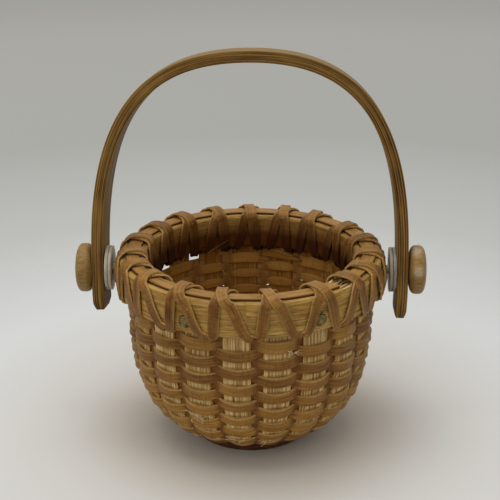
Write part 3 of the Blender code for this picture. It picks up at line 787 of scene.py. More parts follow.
def make_staves(look):
    """Flat split reed from the base up between the hoops."""
    reaches = np.linspace(STAVE_TOP_DROP - (RIM_TOP - RIM_BOTTOM), WALL_REACHES[-1], STAVE_RINGS)
    skin = np.ones(2 * STAVE_COLUMNS)
    skin[[0, STAVE_COLUMNS - 1, STAVE_COLUMNS, -1]] = 0
    shares = np.interp(WALL_REACHES[-1] - reaches, (0, STAVE_FOOT),
                       (STAVE_FOOT_SHARE, STAVE_PITCH_SHARE))
    for index in range(STAVE_COUNT):
        path, outs, radii = wall_places(reaches, stave_angle(index) + np.zeros(STAVE_RINGS))
        half = math.pi * radii / STAVE_COUNT * shares
        half = half + wander(reaches, *STAVE_SIDE_SWAY, 100 + index)
        sections = stave_sections(half, stave_thickness(reaches) / 2, reaches, 200 + index)
        plain = STAVE_TONE * np.random.default_rng(300 + index).random()
        # Painted shade: the stave darkens towards its tone colour beside the strands that cross it
        tone = plain + (1 - plain) * stave_painted_shade(index, reaches)
        name = f"stave_{index + 1:02d}"
        add_piece(f"{name}_reed", sweep(path, outs, sections, skin, tone), look,
                  "basket", [name])


def cane_sections(width, thickness, count):
    """Sections of split cane, with its shiny skin outside."""
    halves = np.broadcast_to(width, count)[:, None] / 2
    rises = np.broadcast_to(thickness, count)[:, None] / 2
    return np.stack([CANE_SIDE_SHARES * halves, CANE_RISE_SHARES * rises], axis=-1)


def woven(crossings, reaches, thickness, bow, side, seed):
    """The way of a strand past the staves, outside the even ones where side is -1."""
    face = side * np.tanh(-WEAVER_SQUARENESS * np.cos(math.pi * crossings)) / math.tanh(WEAVER_SQUARENESS)
    clear = (stave_thickness(reaches) + thickness) / 2
    fill = WEAVER_FILL * bow * np.clip(face, 0, 1) ** 2
    lift = face * (clear + np.where(face > 0, bow, WEAVER_INNER_BOW)) - fill / 2
    places = reaches + WEAVER_DIP * face
    path, outs, _ = wall_places(places, stave_angle(WEAVER_START_COUNT + crossings), lift)
    tilt = wander(crossings, *WEAVER_TILT_SWAY, seed)
    outs = outs + np.array([0, 0, 1]) * np.tan(tilt)[:, None]
    return path, outs, face, thickness + fill


def weaver_reach(crossings):
    """How far down the wall the middle of the weaver lies."""
    return WEAVER_TOP_DROP + WEAVER_PITCH * crossings / STAVE_COUNT


def make_weavers(look):
    """The spiral weaver, over one stave and under the next, in three lengths."""
    crossings = np.arange(WEAVER_CROSSINGS * WEAVER_STEPS + 1) / WEAVER_STEPS
    reaches = weaver_reach(crossings) + wander(crossings, *WEAVER_SWAY, 1)
    rows = crossings / STAVE_COUNT
    foot = np.clip((crossings - WEAVER_SHOWN_CROSSINGS) / WEAVER_FOOT_CROSSINGS, 0, 1)
    bow = np.interp(rows, WEAVER_BOW_ROWS, (WEAVER_BOW, 0))
    bow = bow * (1 + wander(crossings, *WEAVER_BOW_SWAY, 7))
    thickness = WEAVER_THICKNESS + (WEAVER_FOOT_THICKNESS - WEAVER_THICKNESS) * foot
    path, outs, face, thickness = woven(crossings, reaches, thickness, bow, 1, 2)
    first = np.interp(rows, WEAVER_FIRST_ROWS, (1, 0))
    shares = np.interp(face, *WEAVER_TAPER)
    shares = shares + (WEAVER_FIRST_SHARE - shares) * first + (1 - shares) * foot
    width = WEAVER_WIDTH + (WEAVER_FOOT_WIDTH - WEAVER_WIDTH) * foot
    width = width * shares * (1 + wander(crossings, *WEAVER_WIDTH_SWAY, 3))
    tone = np.interp(rows, *WEAVER_TONES) + wander(crossings, *WEAVER_TONE_SWAY, 4)
    # Painted shade: each strand darkens towards its far end in a gap, where it passes in under its
    # neighbours; a tone below 0 paints it darker than the body colour
    tip_shade = np.interp(face, *WEAVER_TIP_PAINTED_SHADE)
    tone = np.clip(tone, 0, 1) * (1 - tip_shade) - WEAVER_TIP_SHADE_DARKNESS * tip_shade
    for third, label in enumerate(("upper", "middle", "lower")):
        start = third * WEAVER_CROSSINGS // 3
        end = (third + 1) * WEAVER_CROSSINGS // 3
        part = slice(start * WEAVER_STEPS, end * WEAVER_STEPS + 1)
        sections = cane_sections(width[part], thickness[part], len(path[part]))
        shape = sweep(path[part], outs[part], sections, WEAVER_SKIN_AND_TOP_HIGHLIGHT_SHARES, tone[part])
        add_piece(f"weaver_{label}_cane", shape, look, "basket", [f"weaver_{label}"])


def make_weaver_tail(look):
    """The thin tail that the weaver starts with, tucked in under the back of the rim."""
    crossings = np.linspace(TAIL_START_CROSSING, TAIL_END_CROSSING, TAIL_STEPS)
    below = weaver_reach(crossings) - WEAVER_WIDTH / 2
    above = TAIL_DROP + wander(crossings, *TAIL_SWAY, 6)
    width = (below - above) * np.interp(crossings - TAIL_START_CROSSING, *TAIL_TIP_SHARES)
    middle = (below + above) / 2
    path, outs, _, thickness = woven(crossings, middle, WEAVER_THICKNESS, WEAVER_BOW / 2, -1, 5)
    sections = cane_sections(width, thickness, len(path))
    shape = sweep(path, outs, sections, CANE_SKIN_SHARES, np.ones(len(path)))
    add_piece("weaver_tail_cane", shape, look, "basket")


def make_loose_end(look):
    """The cut end of a length of cane, loose inside the back of the basket."""
    run = smooth_run(LOOSE_END, LOOSE_END_STEPS)
    path, outs, _ = wall_places(run[:, 1] * MM, np.radians(run[:, 0]), run[:, 2] * MM)
    sections = cane_sections(run[:, 3] * MM, WEAVER_THICKNESS, len(path))
    shape = sweep(path, -outs, sections, CANE_SKIN_SHARES, np.ones(len(path)))
    add_piece("loose_cane_end", shape, look, "basket", inside_shading_scale=LOOSE_END_INSIDE_SHADING)


def hair(path, radius, flatness=1.0):
    """A thin fibre along a path, thinner towards its tip."""
    angles = np.arange(HAIR_CORNERS) * math.tau / HAIR_CORNERS
    ring = np.stack([np.cos(angles), flatness * np.sin(angles)], axis=-1) * radius
    taper = np.linspace(1, HAIR_TIP_SHARE, len(path))[:, None, None]
    return sweep(path, np.broadcast_to(HAIR_SIDE, path.shape), taper * ring, np.ones(HAIR_CORNERS))


def frayed(reach, angle, count, length, seed):
    """Fine fibres that have come loose from the weave round one place."""
    rng = np.random.default_rng(seed)
    shapes = []
    for _ in range(count):
        down = rng.uniform(-FRAY_SPREAD, FRAY_SPREAD)
        across = rng.uniform(-length, length)
        heading = rng.uniform(0, math.tau)
        lift = FRAY_LIFT
        rows = []
        for _ in range(FRAY_SPOTS):
            rows.append((reach + down, angle + across / WALL_RADIUS, lift))
            heading += rng.uniform(-FRAY_BEND, FRAY_BEND)
            down += math.sin(heading) * length * FRAY_DOWN_SHARE
            across += math.cos(heading) * length * FRAY_ROUND_SHARE
            lift += rng.uniform(*FRAY_CLIMBS)
        rows = smooth_run(rows, FRAY_STEPS)
        path, _, _ = wall_places(rows[:, 0], rows[:, 1], rows[:, 2])
        shapes.append(hair(path, rng.uniform(*FRAY_RADII)))
    return shapes


def make_frays(look, straw_look):
    """Loose fibres on the weave, at the lashing and on a knob, and a stray straw inside."""
    shapes = []
    for fray in FRAYS:
        shapes += frayed(*fray)
    low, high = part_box("knob_right")
    top = np.array([(low.x + high.x) / 2, 0, high.z])
    shapes.append(hair(top + KNOB_FIBRE, KNOB_FIBRE_RADIUS))
    add_piece("frayed_fibres", joined(shapes), look, "basket")
    run = smooth_run(at(STRAW_RADII, STRAW_ANGLES, STRAW_HEIGHTS), STRAW_STEPS)
    add_piece("stray_straw", hair(run, STRAW_RADIUS, STRAW_FLATNESS), straw_look, "basket")


def make_splinters(look):
    """Torn ends of the cap reed, and the slivers that stand up along the hoop beside them."""
    rng = np.random.default_rng(71)
    shares = np.array((0, 0.5, 1))
    shapes = []
    for side in (-1, 1):
        for _ in range(SPLINTER_COUNT):
            reach = rng.uniform(*SPLINTER_REACHES)
            radius = RIM_CENTRE + rng.uniform(-CAP_WIDTH / 2, CAP_WIDTH / 2)
            start = CAP_END_ANGLE + side * (CAP_END_GAP / 2 + SPLINTER_INSET) / RIM_CENTRE
            height = CAP_TOP - rng.uniform(*SPLINTER_DROPS)
            swing = rng.uniform(-SPLINTER_SWING, SPLINTER_SWING)
            climb = rng.uniform(-SPLINTER_CLIMB, SPLINTER_CLIMB)
            spots = at(radius + swing * shares, start - side * reach / RIM_CENTRE * shares,
                       height + climb * shares ** 2)
            shapes.append(hair(smooth_run(spots, SPLINTER_STEPS), rng.uniform(*SPLINTER_RADII),
                               SPLINTER_FLATNESS))
    for _ in range(SPLINTER_COUNT):
        radius = OUTER_HOOP_OUTSIDE - rng.uniform(*SLIVER_INSETS)
        start = CAP_END_ANGLE + rng.uniform(*SLIVER_STARTS) / RIM_CENTRE
        reach = rng.uniform(*SLIVER_REACHES)
        swing = rng.uniform(-SLIVER_SWING, SLIVER_SWING)
        rise = rng.uniform(*SLIVER_RISES)
        spots = at(radius + swing * shares, start + reach / RIM_CENTRE * shares,
                   RIM_TOP + rise * shares)
        shapes.append(hair(smooth_run(spots, SPLINTER_STEPS), rng.uniform(*SLIVER_RADII),
                           SLIVER_FLATNESS))
    add_piece("cap_splinters", joined(shapes), look, "basket")


def hoop_sections(thickness, seed):
    """Sections of a hoop whose faces carry fine ridges along it."""
    rows = bar_outline(thickness, RIM_TOP - RIM_BOTTOM, HOOP_EDGE, HOOP_PIECES)
    sections = np.tile(rows, (HOOP_STEPS, 1, 1))
    places = np.linspace(0, math.tau, HOOP_STEPS, endpoint=False)
    rng = np.random.default_rng(seed)
    for column, (side, _) in enumerate(rows):
        waves = places * rng.integers(*HOOP_WAVES) + math.tau * rng.random()
        ridge = HOOP_DRIFT * np.sin(waves) + rng.uniform(*HOOP_RIDGES)
        sections[:, column, 0] += np.sign(side) * ridge
    return sections


def make_hoops(look):
    """The two bent hoops of the rim."""
    angles = np.arange(HOOP_STEPS) * math.tau / HOOP_STEPS
    up = np.broadcast_to((0.0, 0.0, 1.0), (HOOP_STEPS, 3))
    for label, outside, thickness, seed in (("outer", OUTER_HOOP_OUTSIDE, OUTER_HOOP_THICKNESS, 21),
                                            ("inner", INNER_HOOP_OUTSIDE, INNER_HOOP_THICKNESS, 22)):
        radii = np.full(HOOP_STEPS, outside - thickness / 2)
        path = at(radii, angles, (RIM_TOP + RIM_BOTTOM) / 2)
        sections = hoop_sections(thickness, seed)
        shape = sweep(path, up, sections, np.ones(sections.shape[1]), closed=True)
        add_piece(f"{label}_hoop_wood", shape, look, "basket", [f"{label}_rim"])


def make_cap(look):
    """The reed that lies in the slot between the hoops, with its two torn ends, and its edges painted
    dark as the shadow in the slot.
    """
    opening = CAP_END_GAP / RIM_CENTRE
    angles = CAP_END_ANGLE + opening / 2 + np.linspace(0, math.tau - opening, HOOP_STEPS)
    path = at(RIM_CENTRE + wander(angles, *CAP_SWAY, 31), angles, CAP_TOP - CAP_THICKNESS / 2)
    up = np.broadcast_to((0.0, 0.0, 1.0), path.shape)
    width = CAP_WIDTH * (1 + wander(angles, *CAP_WIDTH_SWAY, 32))
    sections = cane_sections(width, CAP_THICKNESS, HOOP_STEPS)
    tone = np.clip(CAP_TONE + wander(angles, *CAP_TONE_SWAY, 33), 0, 1)
    shape = sweep(path, up, sections, CANE_SKIN_SHARES, tone)
    add_piece("rim_cap_reed", shape, look, "basket", ["rim_cap"])


def lash_section(over, arch, bow):
    """The strap's way round the rim as rows of (radius, height, out radius, out height, leg).

    leg is -1 at the outer foot, 0 at the top and 1 at the inner foot.
    """
    lift = LASH_GAP + LASH_THICKNESS / 2
    outside = OUTER_HOOP_OUTSIDE + lift
    inside = INNER_HOOP_INSIDE - lift
    middle = (outside + inside) / 2
    spring = RIM_TOP - LASH_ARCH_DROP
    waist = (RIM_BOTTOM + spring) / 2
    crown = CAP_TOP + lift + arch - spring
    turned = np.linspace(0, math.pi, LASH_ARCH_SPOTS)
    power = np.where(np.cos(turned) > 0, LASH_OUTER_POWER, LASH_INNER_POWER)
    swing = np.sign(np.cos(turned)) * np.abs(np.cos(turned)) ** (2 / power)
    climb = np.sin(turned) ** (2 / power)
    arches = np.stack([middle + (outside - middle) * swing, spring + crown * climb], axis=-1)
    outer = ((outside - LASH_TURN_TUCK, RIM_BOTTOM), (outside, RIM_BOTTOM + LASH_TURN), (outside, waist))
    inner = ((inside, waist), (inside, RIM_BOTTOM + LASH_TURN), (inside + LASH_TURN_TUCK, RIM_BOTTOM))
    spots = np.concatenate([outer, arches, inner])
    along = unit(np.gradient(spots, axis=0))
    outs = np.stack([along[:, 1], -along[:, 0]], axis=-1)
    reach = lengths_along(spots)
    legs = reach / reach[-1] * 2 - 1
    rise = bow * np.clip(1 - ((np.abs(legs) - LASH_BOW_PLACE) / LASH_BOW_REACH) ** 2, 0, 1)
    if over:
        rise = rise + LASH_THICKNESS * np.interp(np.abs(legs), *LASH_OVER_SHARES)
    return np.concatenate([spots + outs * rise[:, None], outs, legs[:, None]], axis=1)


def pin_detour(angle):
    """How far a strap bows aside so that it passes a pivot pin."""
    clear = LASH_PIN_CLEARANCE / OUTER_HOOP_OUTSIDE
    for pin in (QUARTER_TURN, -QUARTER_TURN):
        away = (angle - pin + math.pi) % math.tau - math.pi
        if abs(away) < clear:
            return math.copysign(clear - abs(away), away)
    return 0.0


def lash_path(over):
    """Points and outward sides of one pass of the lashing."""
    outer_foot = (LASH_OVER_FOOT if over else LASH_UNDER_FOOT) / OUTER_HOOP_OUTSIDE
    inner_foot = LASH_INNER_FOOT / INNER_HOOP_INSIDE
    passage = RIM_BOTTOM - LASH_GAP - LASH_THICKNESS * (1.5 if over else 0.5)
    rng = np.random.default_rng(41)
    degrees = rng.uniform(-LASH_APEX_DEGREES, LASH_APEX_DEGREES, STAVE_COUNT)
    arches = LASH_ARCH * rng.uniform(*LASH_ARCH_SHARES, STAVE_COUNT)
    bows = LASH_BOW * rng.uniform(*LASH_BOW_SHARES, STAVE_COUNT)
    points = []
    outs = []
    for turn_count in range(STAVE_COUNT):
        index = STAVE_COUNT - 1 - turn_count if over else turn_count
        near = index if index <= STAVE_COUNT // 2 else index - STAVE_COUNT
        lean = APEX_SHIFTS.get(near, degrees[index]) + (0 if over else UNDER_SHIFTS.get(near, 0))
        gap = stave_angle(index + 0.5)
        apex = gap + LASH_APEX_ANGLE + math.radians(lean)
        outside = gap + STAVE_ANGLE - outer_foot if over else gap + outer_foot
        inside = gap + inner_foot if over else gap + STAVE_ANGLE - inner_foot
        hole = gap if over else gap + STAVE_ANGLE
        leaving = hole - outer_foot if over else hole + outer_foot
        side = abs((outside + math.pi) % math.tau - math.pi)
        bow = LASH_PIN_BOW if abs(side - QUARTER_TURN) < LASH_PIN_REACH else bows[index]
        rows = lash_section(over, arches[index], bow)
        legs = rows[:, 4]
        foot = np.where(legs < 0, outside, inside)
        swing = np.abs(legs) + LASH_SWING_SHARE * np.sin(math.pi * np.abs(legs))
        angles = apex + (foot - apex) * swing
        for _ in range(LASH_SMOOTHINGS):
            angles[1:-1] = (angles[:-2] + 2 * angles[1:-1] + angles[2:]) / 4
        angles += [pin_detour(angle) * (abs(height - PIVOT_HEIGHT) < LASH_PIN_CLEARANCE)
                   for angle, height in zip(angles, rows[:, 1])]
        points += list(at(rows[:, 0], angles, rows[:, 1]))
        sides = outward(angles) * rows[:, 2:3]
        sides[:, 2] = rows[:, 3]
        outs += list(sides)
        for radius, angle in ((INNER_HOOP_INSIDE + LASH_TURN, inside), (WALL_RADIUS, hole),
                              (OUTER_HOOP_OUTSIDE - LASH_TURN, leaving)):
            points.append(at(radius, angle, passage))
            outs.append(np.array([0.0, 0, -1]))
    return np.array(points[:-1]), np.array(outs[:-1])


def make_lashings(look):
    """The two passes of binding cane that cross over the rim."""
    for label, over, seed in (("first", False, 51), ("second", True, 52)):
        points, outs = lash_path(over)
        path = smooth_run(points, LASH_STEPS)
        outs = unit(smooth_run(outs, LASH_STEPS))
        places = lengths_along(path)
        width = np.interp(path[:, 2] - RIM_BOTTOM, (0, LASH_FOOT_RISE), (LASH_FOOT_WIDTH, LASH_WIDTH))
        width = width * (1 + wander(places, *LASH_WIDTH_SWAY, seed))
        sections = cane_sections(width, LASH_THICKNESS, len(path))
        # Painted highlight: the tone grows lighter towards the top of each arch
        top = np.clip((path[:, 2] - CAP_TOP) / LASH_ARCH, 0, 1)
        tone = LASH_TONE + LASH_TOP_PAINTED_LIGHT * top + wander(places, *LASH_TONE_SWAY, seed + 10)
        shape = sweep(path, outs, sections, CANE_SKIN_SHARES, np.clip(tone, 0, 1))
        add_piece(f"lashing_{label}_cane", shape, look, "basket", [f"lashing_{label}"])


def handle_half(side):
    """The bail's middle line in its own plane, from the leg's end to the top."""
    top = HANDLE_RISE - HANDLE_THICKNESS / 2
    shoulder = HANDLE_SHOULDER + (top - HANDLE_SHOULDER) * SHOULDER_RISE_SHARE
    ends = np.array(((HANDLE_REACH, HANDLE_SHOULDER), (HANDLE_REACH, shoulder),
                     (HANDLE_REACH * CROWN_REACH_SHARE, top), (0, top)))
    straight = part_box("washer_outer_right")[1].z - PIVOT_HEIGHT
    drops = np.linspace(LEG_DROPS[side], 0, LEG_STEPS, endpoint=False)
    sides = HANDLE_REACH - np.clip(drops - straight, 0, None) * math.tan(LEG_TUCK)
    leg = np.stack([sides, -drops], axis=-1)
    line = np.concatenate([leg, [[HANDLE_REACH, 0]], bezier(ends, HANDLE_STEPS)])
    return line * np.array([side, 1])


def make_handle(look):
    """The bent wooden bail."""
    line = np.concatenate([handle_half(-1), handle_half(1)[-2::-1]])
    path = np.stack([line[:, 0], np.zeros(len(line)), line[:, 1]], axis=-1)
    along = unit(np.gradient(line, axis=0))
    twist = LEFT_LEG_TWIST * np.clip(-line[:, 0] / HANDLE_REACH, 0, 1) ** 3
    outs = np.stack([-along[:, 1], np.tan(twist), along[:, 0]], axis=-1)
    places = lengths_along(path)
    ends = np.minimum(places, places[-1] - places)
    taper = np.stack([1 - loss * np.clip(1 - ends / reach, 0, 1) for reach, loss in END_CHAMFERS],
                     axis=-1)
    rows = bar_outline(HANDLE_WIDTH, HANDLE_THICKNESS, HANDLE_EDGE, HANDLE_PIECES)
    sections = rows * taper[:, None]
    rng = np.random.default_rng(61)
    for column, row in enumerate(rows):
        ridge = rng.uniform(-HANDLE_RIDGE, HANDLE_RIDGE)
        ridge = ridge + wander(places, *HANDLE_RIDGE_SWAY, rng.integers(1e9))
        axis = 1 if np.isclose(abs(row[1]), HANDLE_THICKNESS / 2) else 0
        sections[:, column, axis] += np.sign(row[axis]) * ridge
    flush = np.clip((np.abs(rows[:, 1]) - HANDLE_THICKNESS / 2) / HANDLE_EDGE + 1, 0, 1)
    skin = 1 - flush * np.where(rows[:, 1] > 0, 1, HANDLE_INNER_EDGE_SHARE)
    shape = sweep(path, outs, sections, skin)
    place = Matrix.Translation((0, 0, PIVOT_HEIGHT)) @ Matrix.Rotation(-HANDLE_LEAN, 4, "X")
    add_piece("handle_wood", shape.placed(place), look, "bail", ["handle"])


def radial_place(angle, height):
    """A frame whose Z points outward at an angle round the basket."""
    out = Vector((math.sin(angle), -math.cos(angle), 0))
    up = Vector((0, 0, 1))
    place = Matrix((up.cross(out), up, out)).transposed().to_4x4()
    place.translation = Vector((0, 0, height))
    return place


def knob_outline(radius, low, high):
    """The outline of a fat disc without any flat, on the axis at both ends."""
    rows = []
    for angle in np.linspace(-QUARTER_TURN, QUARTER_TURN, KNOB_STEPS + 1):
        lift = math.copysign(abs(math.sin(angle)) ** (2 / KNOB_FACE_FULLNESS), angle)
        rows.append((radius * math.cos(angle) ** (2 / KNOB_FULLNESS),
                     (low + high) / 2 + (high - low) / 2 * lift))
    rows[0] = (0, low)
    rows[-1] = (0, high)
    return rows


def peg_outline(radius, low, high):
    """The outline of a peg with rounded rims, on the axis at both ends."""
    rows = [(0, low)]
    for centre, start in ((low + PIN_EDGE, -QUARTER_TURN), (high - PIN_EDGE, 0)):
        for angle in start + np.linspace(0, QUARTER_TURN, PIN_EDGE_SPOTS):
            rows.append((radius - PIN_EDGE * (1 - math.cos(angle)), centre + PIN_EDGE * math.sin(angle)))
    rows.append((0, high))
    return rows


def washer_outline(radius, low, high):
    """The outline of a washer with its outer edges broken."""
    low = low - WASHER_SPREAD
    high = high + WASHER_SPREAD
    return ((WASHER_BORE, low), (radius - WASHER_EDGE, low), (radius, low + WASHER_EDGE),
            (radius, high - WASHER_EDGE), (radius - WASHER_EDGE, high), (WASHER_BORE, high))


def make_pivots(knob_look, peg_look, nylon_looks):
    """The pegs, washers and knobs at the two ends of the pivot."""
    for label, side in (("left", -1), ("right", 1)):
        washer = (washer_outline, WASHER_SEGMENTS, nylon_looks[label], "nylon", "nylon")
        for node, outline, segments, look, slot, kind in (
                (f"knob_{label}", knob_outline, KNOB_SEGMENTS, knob_look, "knob_wood", "wood"),
                (f"pivot_pin_{label}", peg_outline, PIN_SEGMENTS, peg_look, "peg_wood", "peg"),
                (f"washer_inner_{label}", *washer), (f"washer_outer_{label}", *washer)):
            bottom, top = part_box(node)
            low, high = sorted((abs(bottom.x), abs(top.x)))
            shape = turn(outline((top.z - bottom.z) / 2, low, high), segments)
            shape.placed(radial_place(side * QUARTER_TURN, PIVOT_HEIGHT))
            add_piece(f"{node}_{kind}", shape, look, "basket", [node])


def make_base(look):
    """The turned base, with the groove that takes the stave ends."""
    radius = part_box("base")[1].x
    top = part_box("base")[1].z
    rim = [(radius - BASE_EDGE * (1 - math.sin(turned)), BASE_EDGE * (1 - math.cos(turned)))
           for turned in np.linspace(0, QUARTER_TURN, BASE_EDGE_SPOTS)]
    shoulder = radius - BASE_EDGE
    floor = radius - BASE_GROOVE_DEPTH
    bevel = BASE_EDGE * BASE_BEVEL_SHARE
    outline = [(0, 0), *rim, (radius, BASE_LIP), (floor, BASE_LIP), (floor, BASE_LIP + BASE_GROOVE),
               (shoulder, BASE_LIP + BASE_GROOVE), (shoulder, top - BASE_EDGE),
               (shoulder - bevel, top - bevel), (shoulder - BASE_EDGE, top), (0, top)]
    add_piece("base_turned", turn(outline, BASE_SEGMENTS), look, "basket", ["base"])


def make_nails(look):
    """The small brass nails in the outer hoop."""
    seat = OUTER_HOOP_OUTSIDE
    for number in range(1, NAIL_COUNT + 1):
        low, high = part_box(f"rim_nail_{number}")
        middle = (low + high) / 2
        radius = (high.z - low.z) / 2 * NAIL_HEAD_SHARE
        rows = [(0, seat - NAIL_SHANK), (NAIL_SHANK_RADIUS, seat - NAIL_SHANK), (NAIL_SHANK_RADIUS, seat)]
        for turned in np.linspace(0, QUARTER_TURN, NAIL_HEAD_STEPS, endpoint=False):
            rows.append((radius * math.sqrt(math.cos(turned)), seat + NAIL_HEAD_RISE * math.sin(turned)))
        shape = turn([*rows, (0, seat + NAIL_HEAD_RISE)], NAIL_SEGMENTS)
        reaches = np.hypot(shape.points[:, 0], shape.points[:, 1]) / radius
        # Painted shadow: a dark ring round the rim of each head
        shape.tone = np.interp(reaches, NAIL_SHADOW_SHARES, (0, 1))
        shape.placed(radial_place(math.atan2(middle.x, -middle.y), middle.z))
        add_piece(f"rim_nail_{number}_brass", shape, look, "basket",
                  [f"rim_nail_{number}"])


def make_floor():
    """A pale floor with painted shade, darker a little way from the basket than round it, where less
    light falls, and a little darker right by the basket, painted shadow.
    """
    corners = [(side * FLOOR_REACH, rise * FLOOR_REACH, 0)
               for side, rise in ((-1, -1), (1, -1), (1, 1), (-1, 1))]
    mesh = bpy.data.meshes.new("floor")
    mesh.from_pydata(corners, [], [(0, 1, 2, 3)])
    floor = linked("floor", mesh)
    look = Look("floor", roughness=0.9, specular=0.1)
    source = look.node("ShaderNodeNewGeometry", {})
    distance = look.node("ShaderNodeVectorMath", {0: source.outputs["Position"]}, operation="LENGTH")
    # Painted shade by distance from the basket's axis
    share = look.span(distance.outputs["Value"], FLOOR_NEAR, FLOOR_FAR)
    mesh.materials.append(look.finish(look.ramp(share, FLOOR_PAINTED_SHADE)))


def make_lights():
    """Soft studio light from above and from the front left, and a pale world."""
    world = bpy.data.worlds.new("studio")
    world.use_nodes = True
    background = world.node_tree.nodes["Background"]
    background.inputs["Color"].default_value = STUDIO_COLOUR
    background.inputs["Strength"].default_value = STUDIO_STRENGTH
    bpy.context.scene.world = world
    for name, place, size, power, colour in LAMPS:
        lamp = bpy.data.lights.new(name, "AREA")
        lamp.size = size
        lamp.energy = power
        lamp.color = colour
        made = linked(name, lamp)
        made.location = place
        made.rotation_euler = (place - AIM).to_track_quat("Z", "Y").to_euler()


def make_camera():
    """The camera, turned, tipped and rolled round the middle of the basket."""
    data = bpy.data.cameras.new("camera")
    data.sensor_width = SENSOR_WIDTH
    data.lens = FOCAL_PIXELS / PHOTO_PIXELS * SENSOR_WIDTH
    data.clip_start = CAMERA_NEAR
    camera = linked("camera", data)
    facing = Matrix.Rotation(CAMERA_YAW, 4, "Z") @ Matrix.Rotation(QUARTER_TURN - CAMERA_PITCH, 4, "X")
    stand = Matrix.Translation((AIM_SIDE, 0, CAMERA_DISTANCE)) @ Matrix.Rotation(CAMERA_ROLL, 4, "Z")
    camera.matrix_world = Matrix.Translation(AIM) @ facing @ stand
    bpy.context.scene.camera = camera
    bpy.context.scene.view_settings.view_transform = "Standard"


def brass():
    look = Look("aged_brass", roughness=0.45, metallic=0.35)
    blotch = look.noise(look.space((0.9, 0.9, 0.9)), detail=4.0)
    colour = look.ramp(blotch, [(0.35, (0.075, 0.052, 0.01)), (0.55, (0.17, 0.125, 0.03)),
                                (0.75, (0.3, 0.23, 0.07))])
    # The tone darkens the rims of the nail heads towards near black: painted shadow
    colour = look.mix(look.attribute("tone"), colour, (0.012, 0.007, 0.002))
    return look.finish(colour, look.span(blotch, 0.3, 0.7, 0.65, 0.4), blotch)


def nylon(name, share):
    look = Look(name, roughness=0.4)
    look.shader.inputs["Transmission Weight"].default_value = 0.45
    cloud = look.noise(look.grain(0.6, 0.9), detail=3.0)
    stops = [(place, tuple(share * value for value in colour))
             for place, colour in ((0.3, (0.46, 0.39, 0.28)), (0.7, (0.62, 0.56, 0.44)))]
    return look.finish(look.ramp(cloud, stops), look.span(cloud, 0.3, 0.7, 0.5, 0.35), cloud, NYLON_BUMP)


def turned_wood(name, dark, body, light, cells, roughness, worn=()):
    """Wood with its grain running in space, as a turned piece shows it."""
    look = Look(name, specular=0.2)
    fine = look.noise(look.space(cells), detail=4.0, roughness=0.6)
    broad = look.noise(look.space([value * 0.3 for value in cells]), detail=2.0)
    colour = look.ramp(look.span(fine, 0.3, 0.7), [(0.0, dark), (0.5, body), (1.0, light)])
    colour = look.tint(colour, broad, 0.35, 0.7, 0.6, light)
    for spot, radius in worn:
        ragged = look.combine("ADD", look.distance(spot), look.combine("MULTIPLY", fine, WORN_RAGGEDNESS))
        middle = radius + WORN_RAGGEDNESS / 2
        colour = look.tint(colour, ragged, middle * 1.12, middle * 0.85, WORN_SHARE, WORN_COLOUR)
    gloss = look.span(fine, 0.3, 0.7, roughness + 0.1, roughness - 0.05)
    return look.finish(colour, gloss, fine, TURNED_BUMP)


make_floor()
make_lights()
make_camera()
# Each inside_shading colour paints the shade inside the bowl; the cane's is lighter and yellower, partly
# its inner side's own colour and partly painted light
stave_look = fibrous("stave_reed", (0.14, 0.066, 0.012), (0.43, 0.255, 0.073), (0.77, 0.56, 0.255),
                     2.3, 0.03, 0.6, contrast=0.15, tone_colour=(0.36, 0.215, 0.065), depth=STAVE_BUMP,
                     stains=0.1, inside_shading=(0.82, 0.6, 0.32))
cane_look = fibrous("cane", (0.055, 0.017, 0.003), (0.145, 0.056, 0.0085), (0.3, 0.14, 0.031),
                    2.1, 0.1, 0.42, contrast=0.3, tone_colour=(0.41, 0.207, 0.039),
                    edge_colour=(0.55, 0.33, 0.105), crinkle=0.45, stains=0.2, lines=0.2,
                    inside_shading=(1.7, 1.6, 1.25))
lash_look = fibrous("binding_cane", (0.055, 0.015, 0.002), (0.17, 0.066, 0.008), (0.33, 0.155, 0.03),
                    1.9, 0.1, 0.4, contrast=0.3, tone_colour=(0.39, 0.2, 0.05),
                    edge_colour=(0.44, 0.25, 0.075), crinkle=0.6, stains=0.6,
                    flecks=0.6, inside_shading=(0.3, 0.18, 0.1))
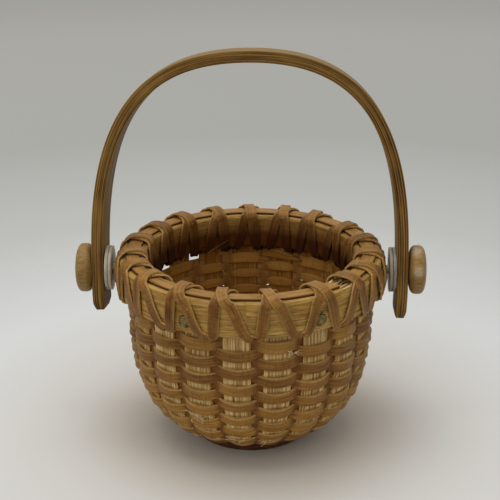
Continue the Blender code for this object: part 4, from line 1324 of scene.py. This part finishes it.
hoop_look = fibrous("hoop_wood", (0.13, 0.05, 0.007), (0.38, 0.205, 0.038), (0.6, 0.4, 0.125),
                    2.3, 0.05, 0.5, contrast=0.34, pores=0.7, depth=RIM_BUMP, stains=0.4,
                    inside_shading=(0.3, 0.165, 0.065))
# The cap's near-black edge colour is painted shadow in the slot between the cap and the hoops
cap_look = fibrous("cap_reed", (0.14, 0.055, 0.01), (0.32, 0.155, 0.036), (0.48, 0.28, 0.085),
                   2.6, 0.1, 0.5, contrast=0.3, tone_colour=(0.42, 0.235, 0.065),
                   edge_colour=(0.045, 0.017, 0.004), depth=RIM_BUMP)
straw_look = fibrous("torn_straw", (0.4, 0.25, 0.09), (0.72, 0.54, 0.26), (0.88, 0.74, 0.46),
                     3.0, 0.3, 0.6)
fray_look = fibrous("frayed_fibre", (0.35, 0.22, 0.1), (0.62, 0.48, 0.28), (0.8, 0.7, 0.5),
                    3.0, 0.5, 0.6)
handle_look = fibrous("handle_wood", (0.034, 0.0115, 0.0018), (0.11, 0.047, 0.006), (0.29, 0.16, 0.034),
                      3.4, 0.022, 0.5, contrast=0.17, edge_colour=(0.28, 0.175, 0.052), depth=HANDLE_BUMP,
                      stains=0.25, lines=0.85)
base_look = turned_wood("base_wood", (0.02, 0.0055, 0.001), (0.06, 0.018, 0.0025),
                        (0.125, 0.046, 0.008), (0.25, 2.2, 2.2), 0.5)
knob_look = turned_wood("knob_wood", (0.14, 0.075, 0.018), (0.215, 0.122, 0.032),
                        (0.32, 0.195, 0.066), (0.6, 3.0, 3.0), 0.36, WORN_SPOTS)
peg_look = turned_wood("peg_wood", (0.3, 0.19, 0.08), (0.45, 0.31, 0.15), (0.6, 0.46, 0.27),
                       (0.3, 2.0, 2.0), 0.6)
make_base(base_look)
make_staves(stave_look)
make_weavers(cane_look)
make_weaver_tail(cane_look)
make_loose_end(cane_look)
make_hoops(hoop_look)
make_cap(cap_look)
make_splinters(straw_look)
make_lashings(lash_look)
make_frays(fray_look, straw_look)
make_nails(brass())
make_pivots(knob_look, peg_look, {"left": nylon("nylon_left", 1.2), "right": nylon("nylon_right", 0.75)})
make_handle(handle_look)
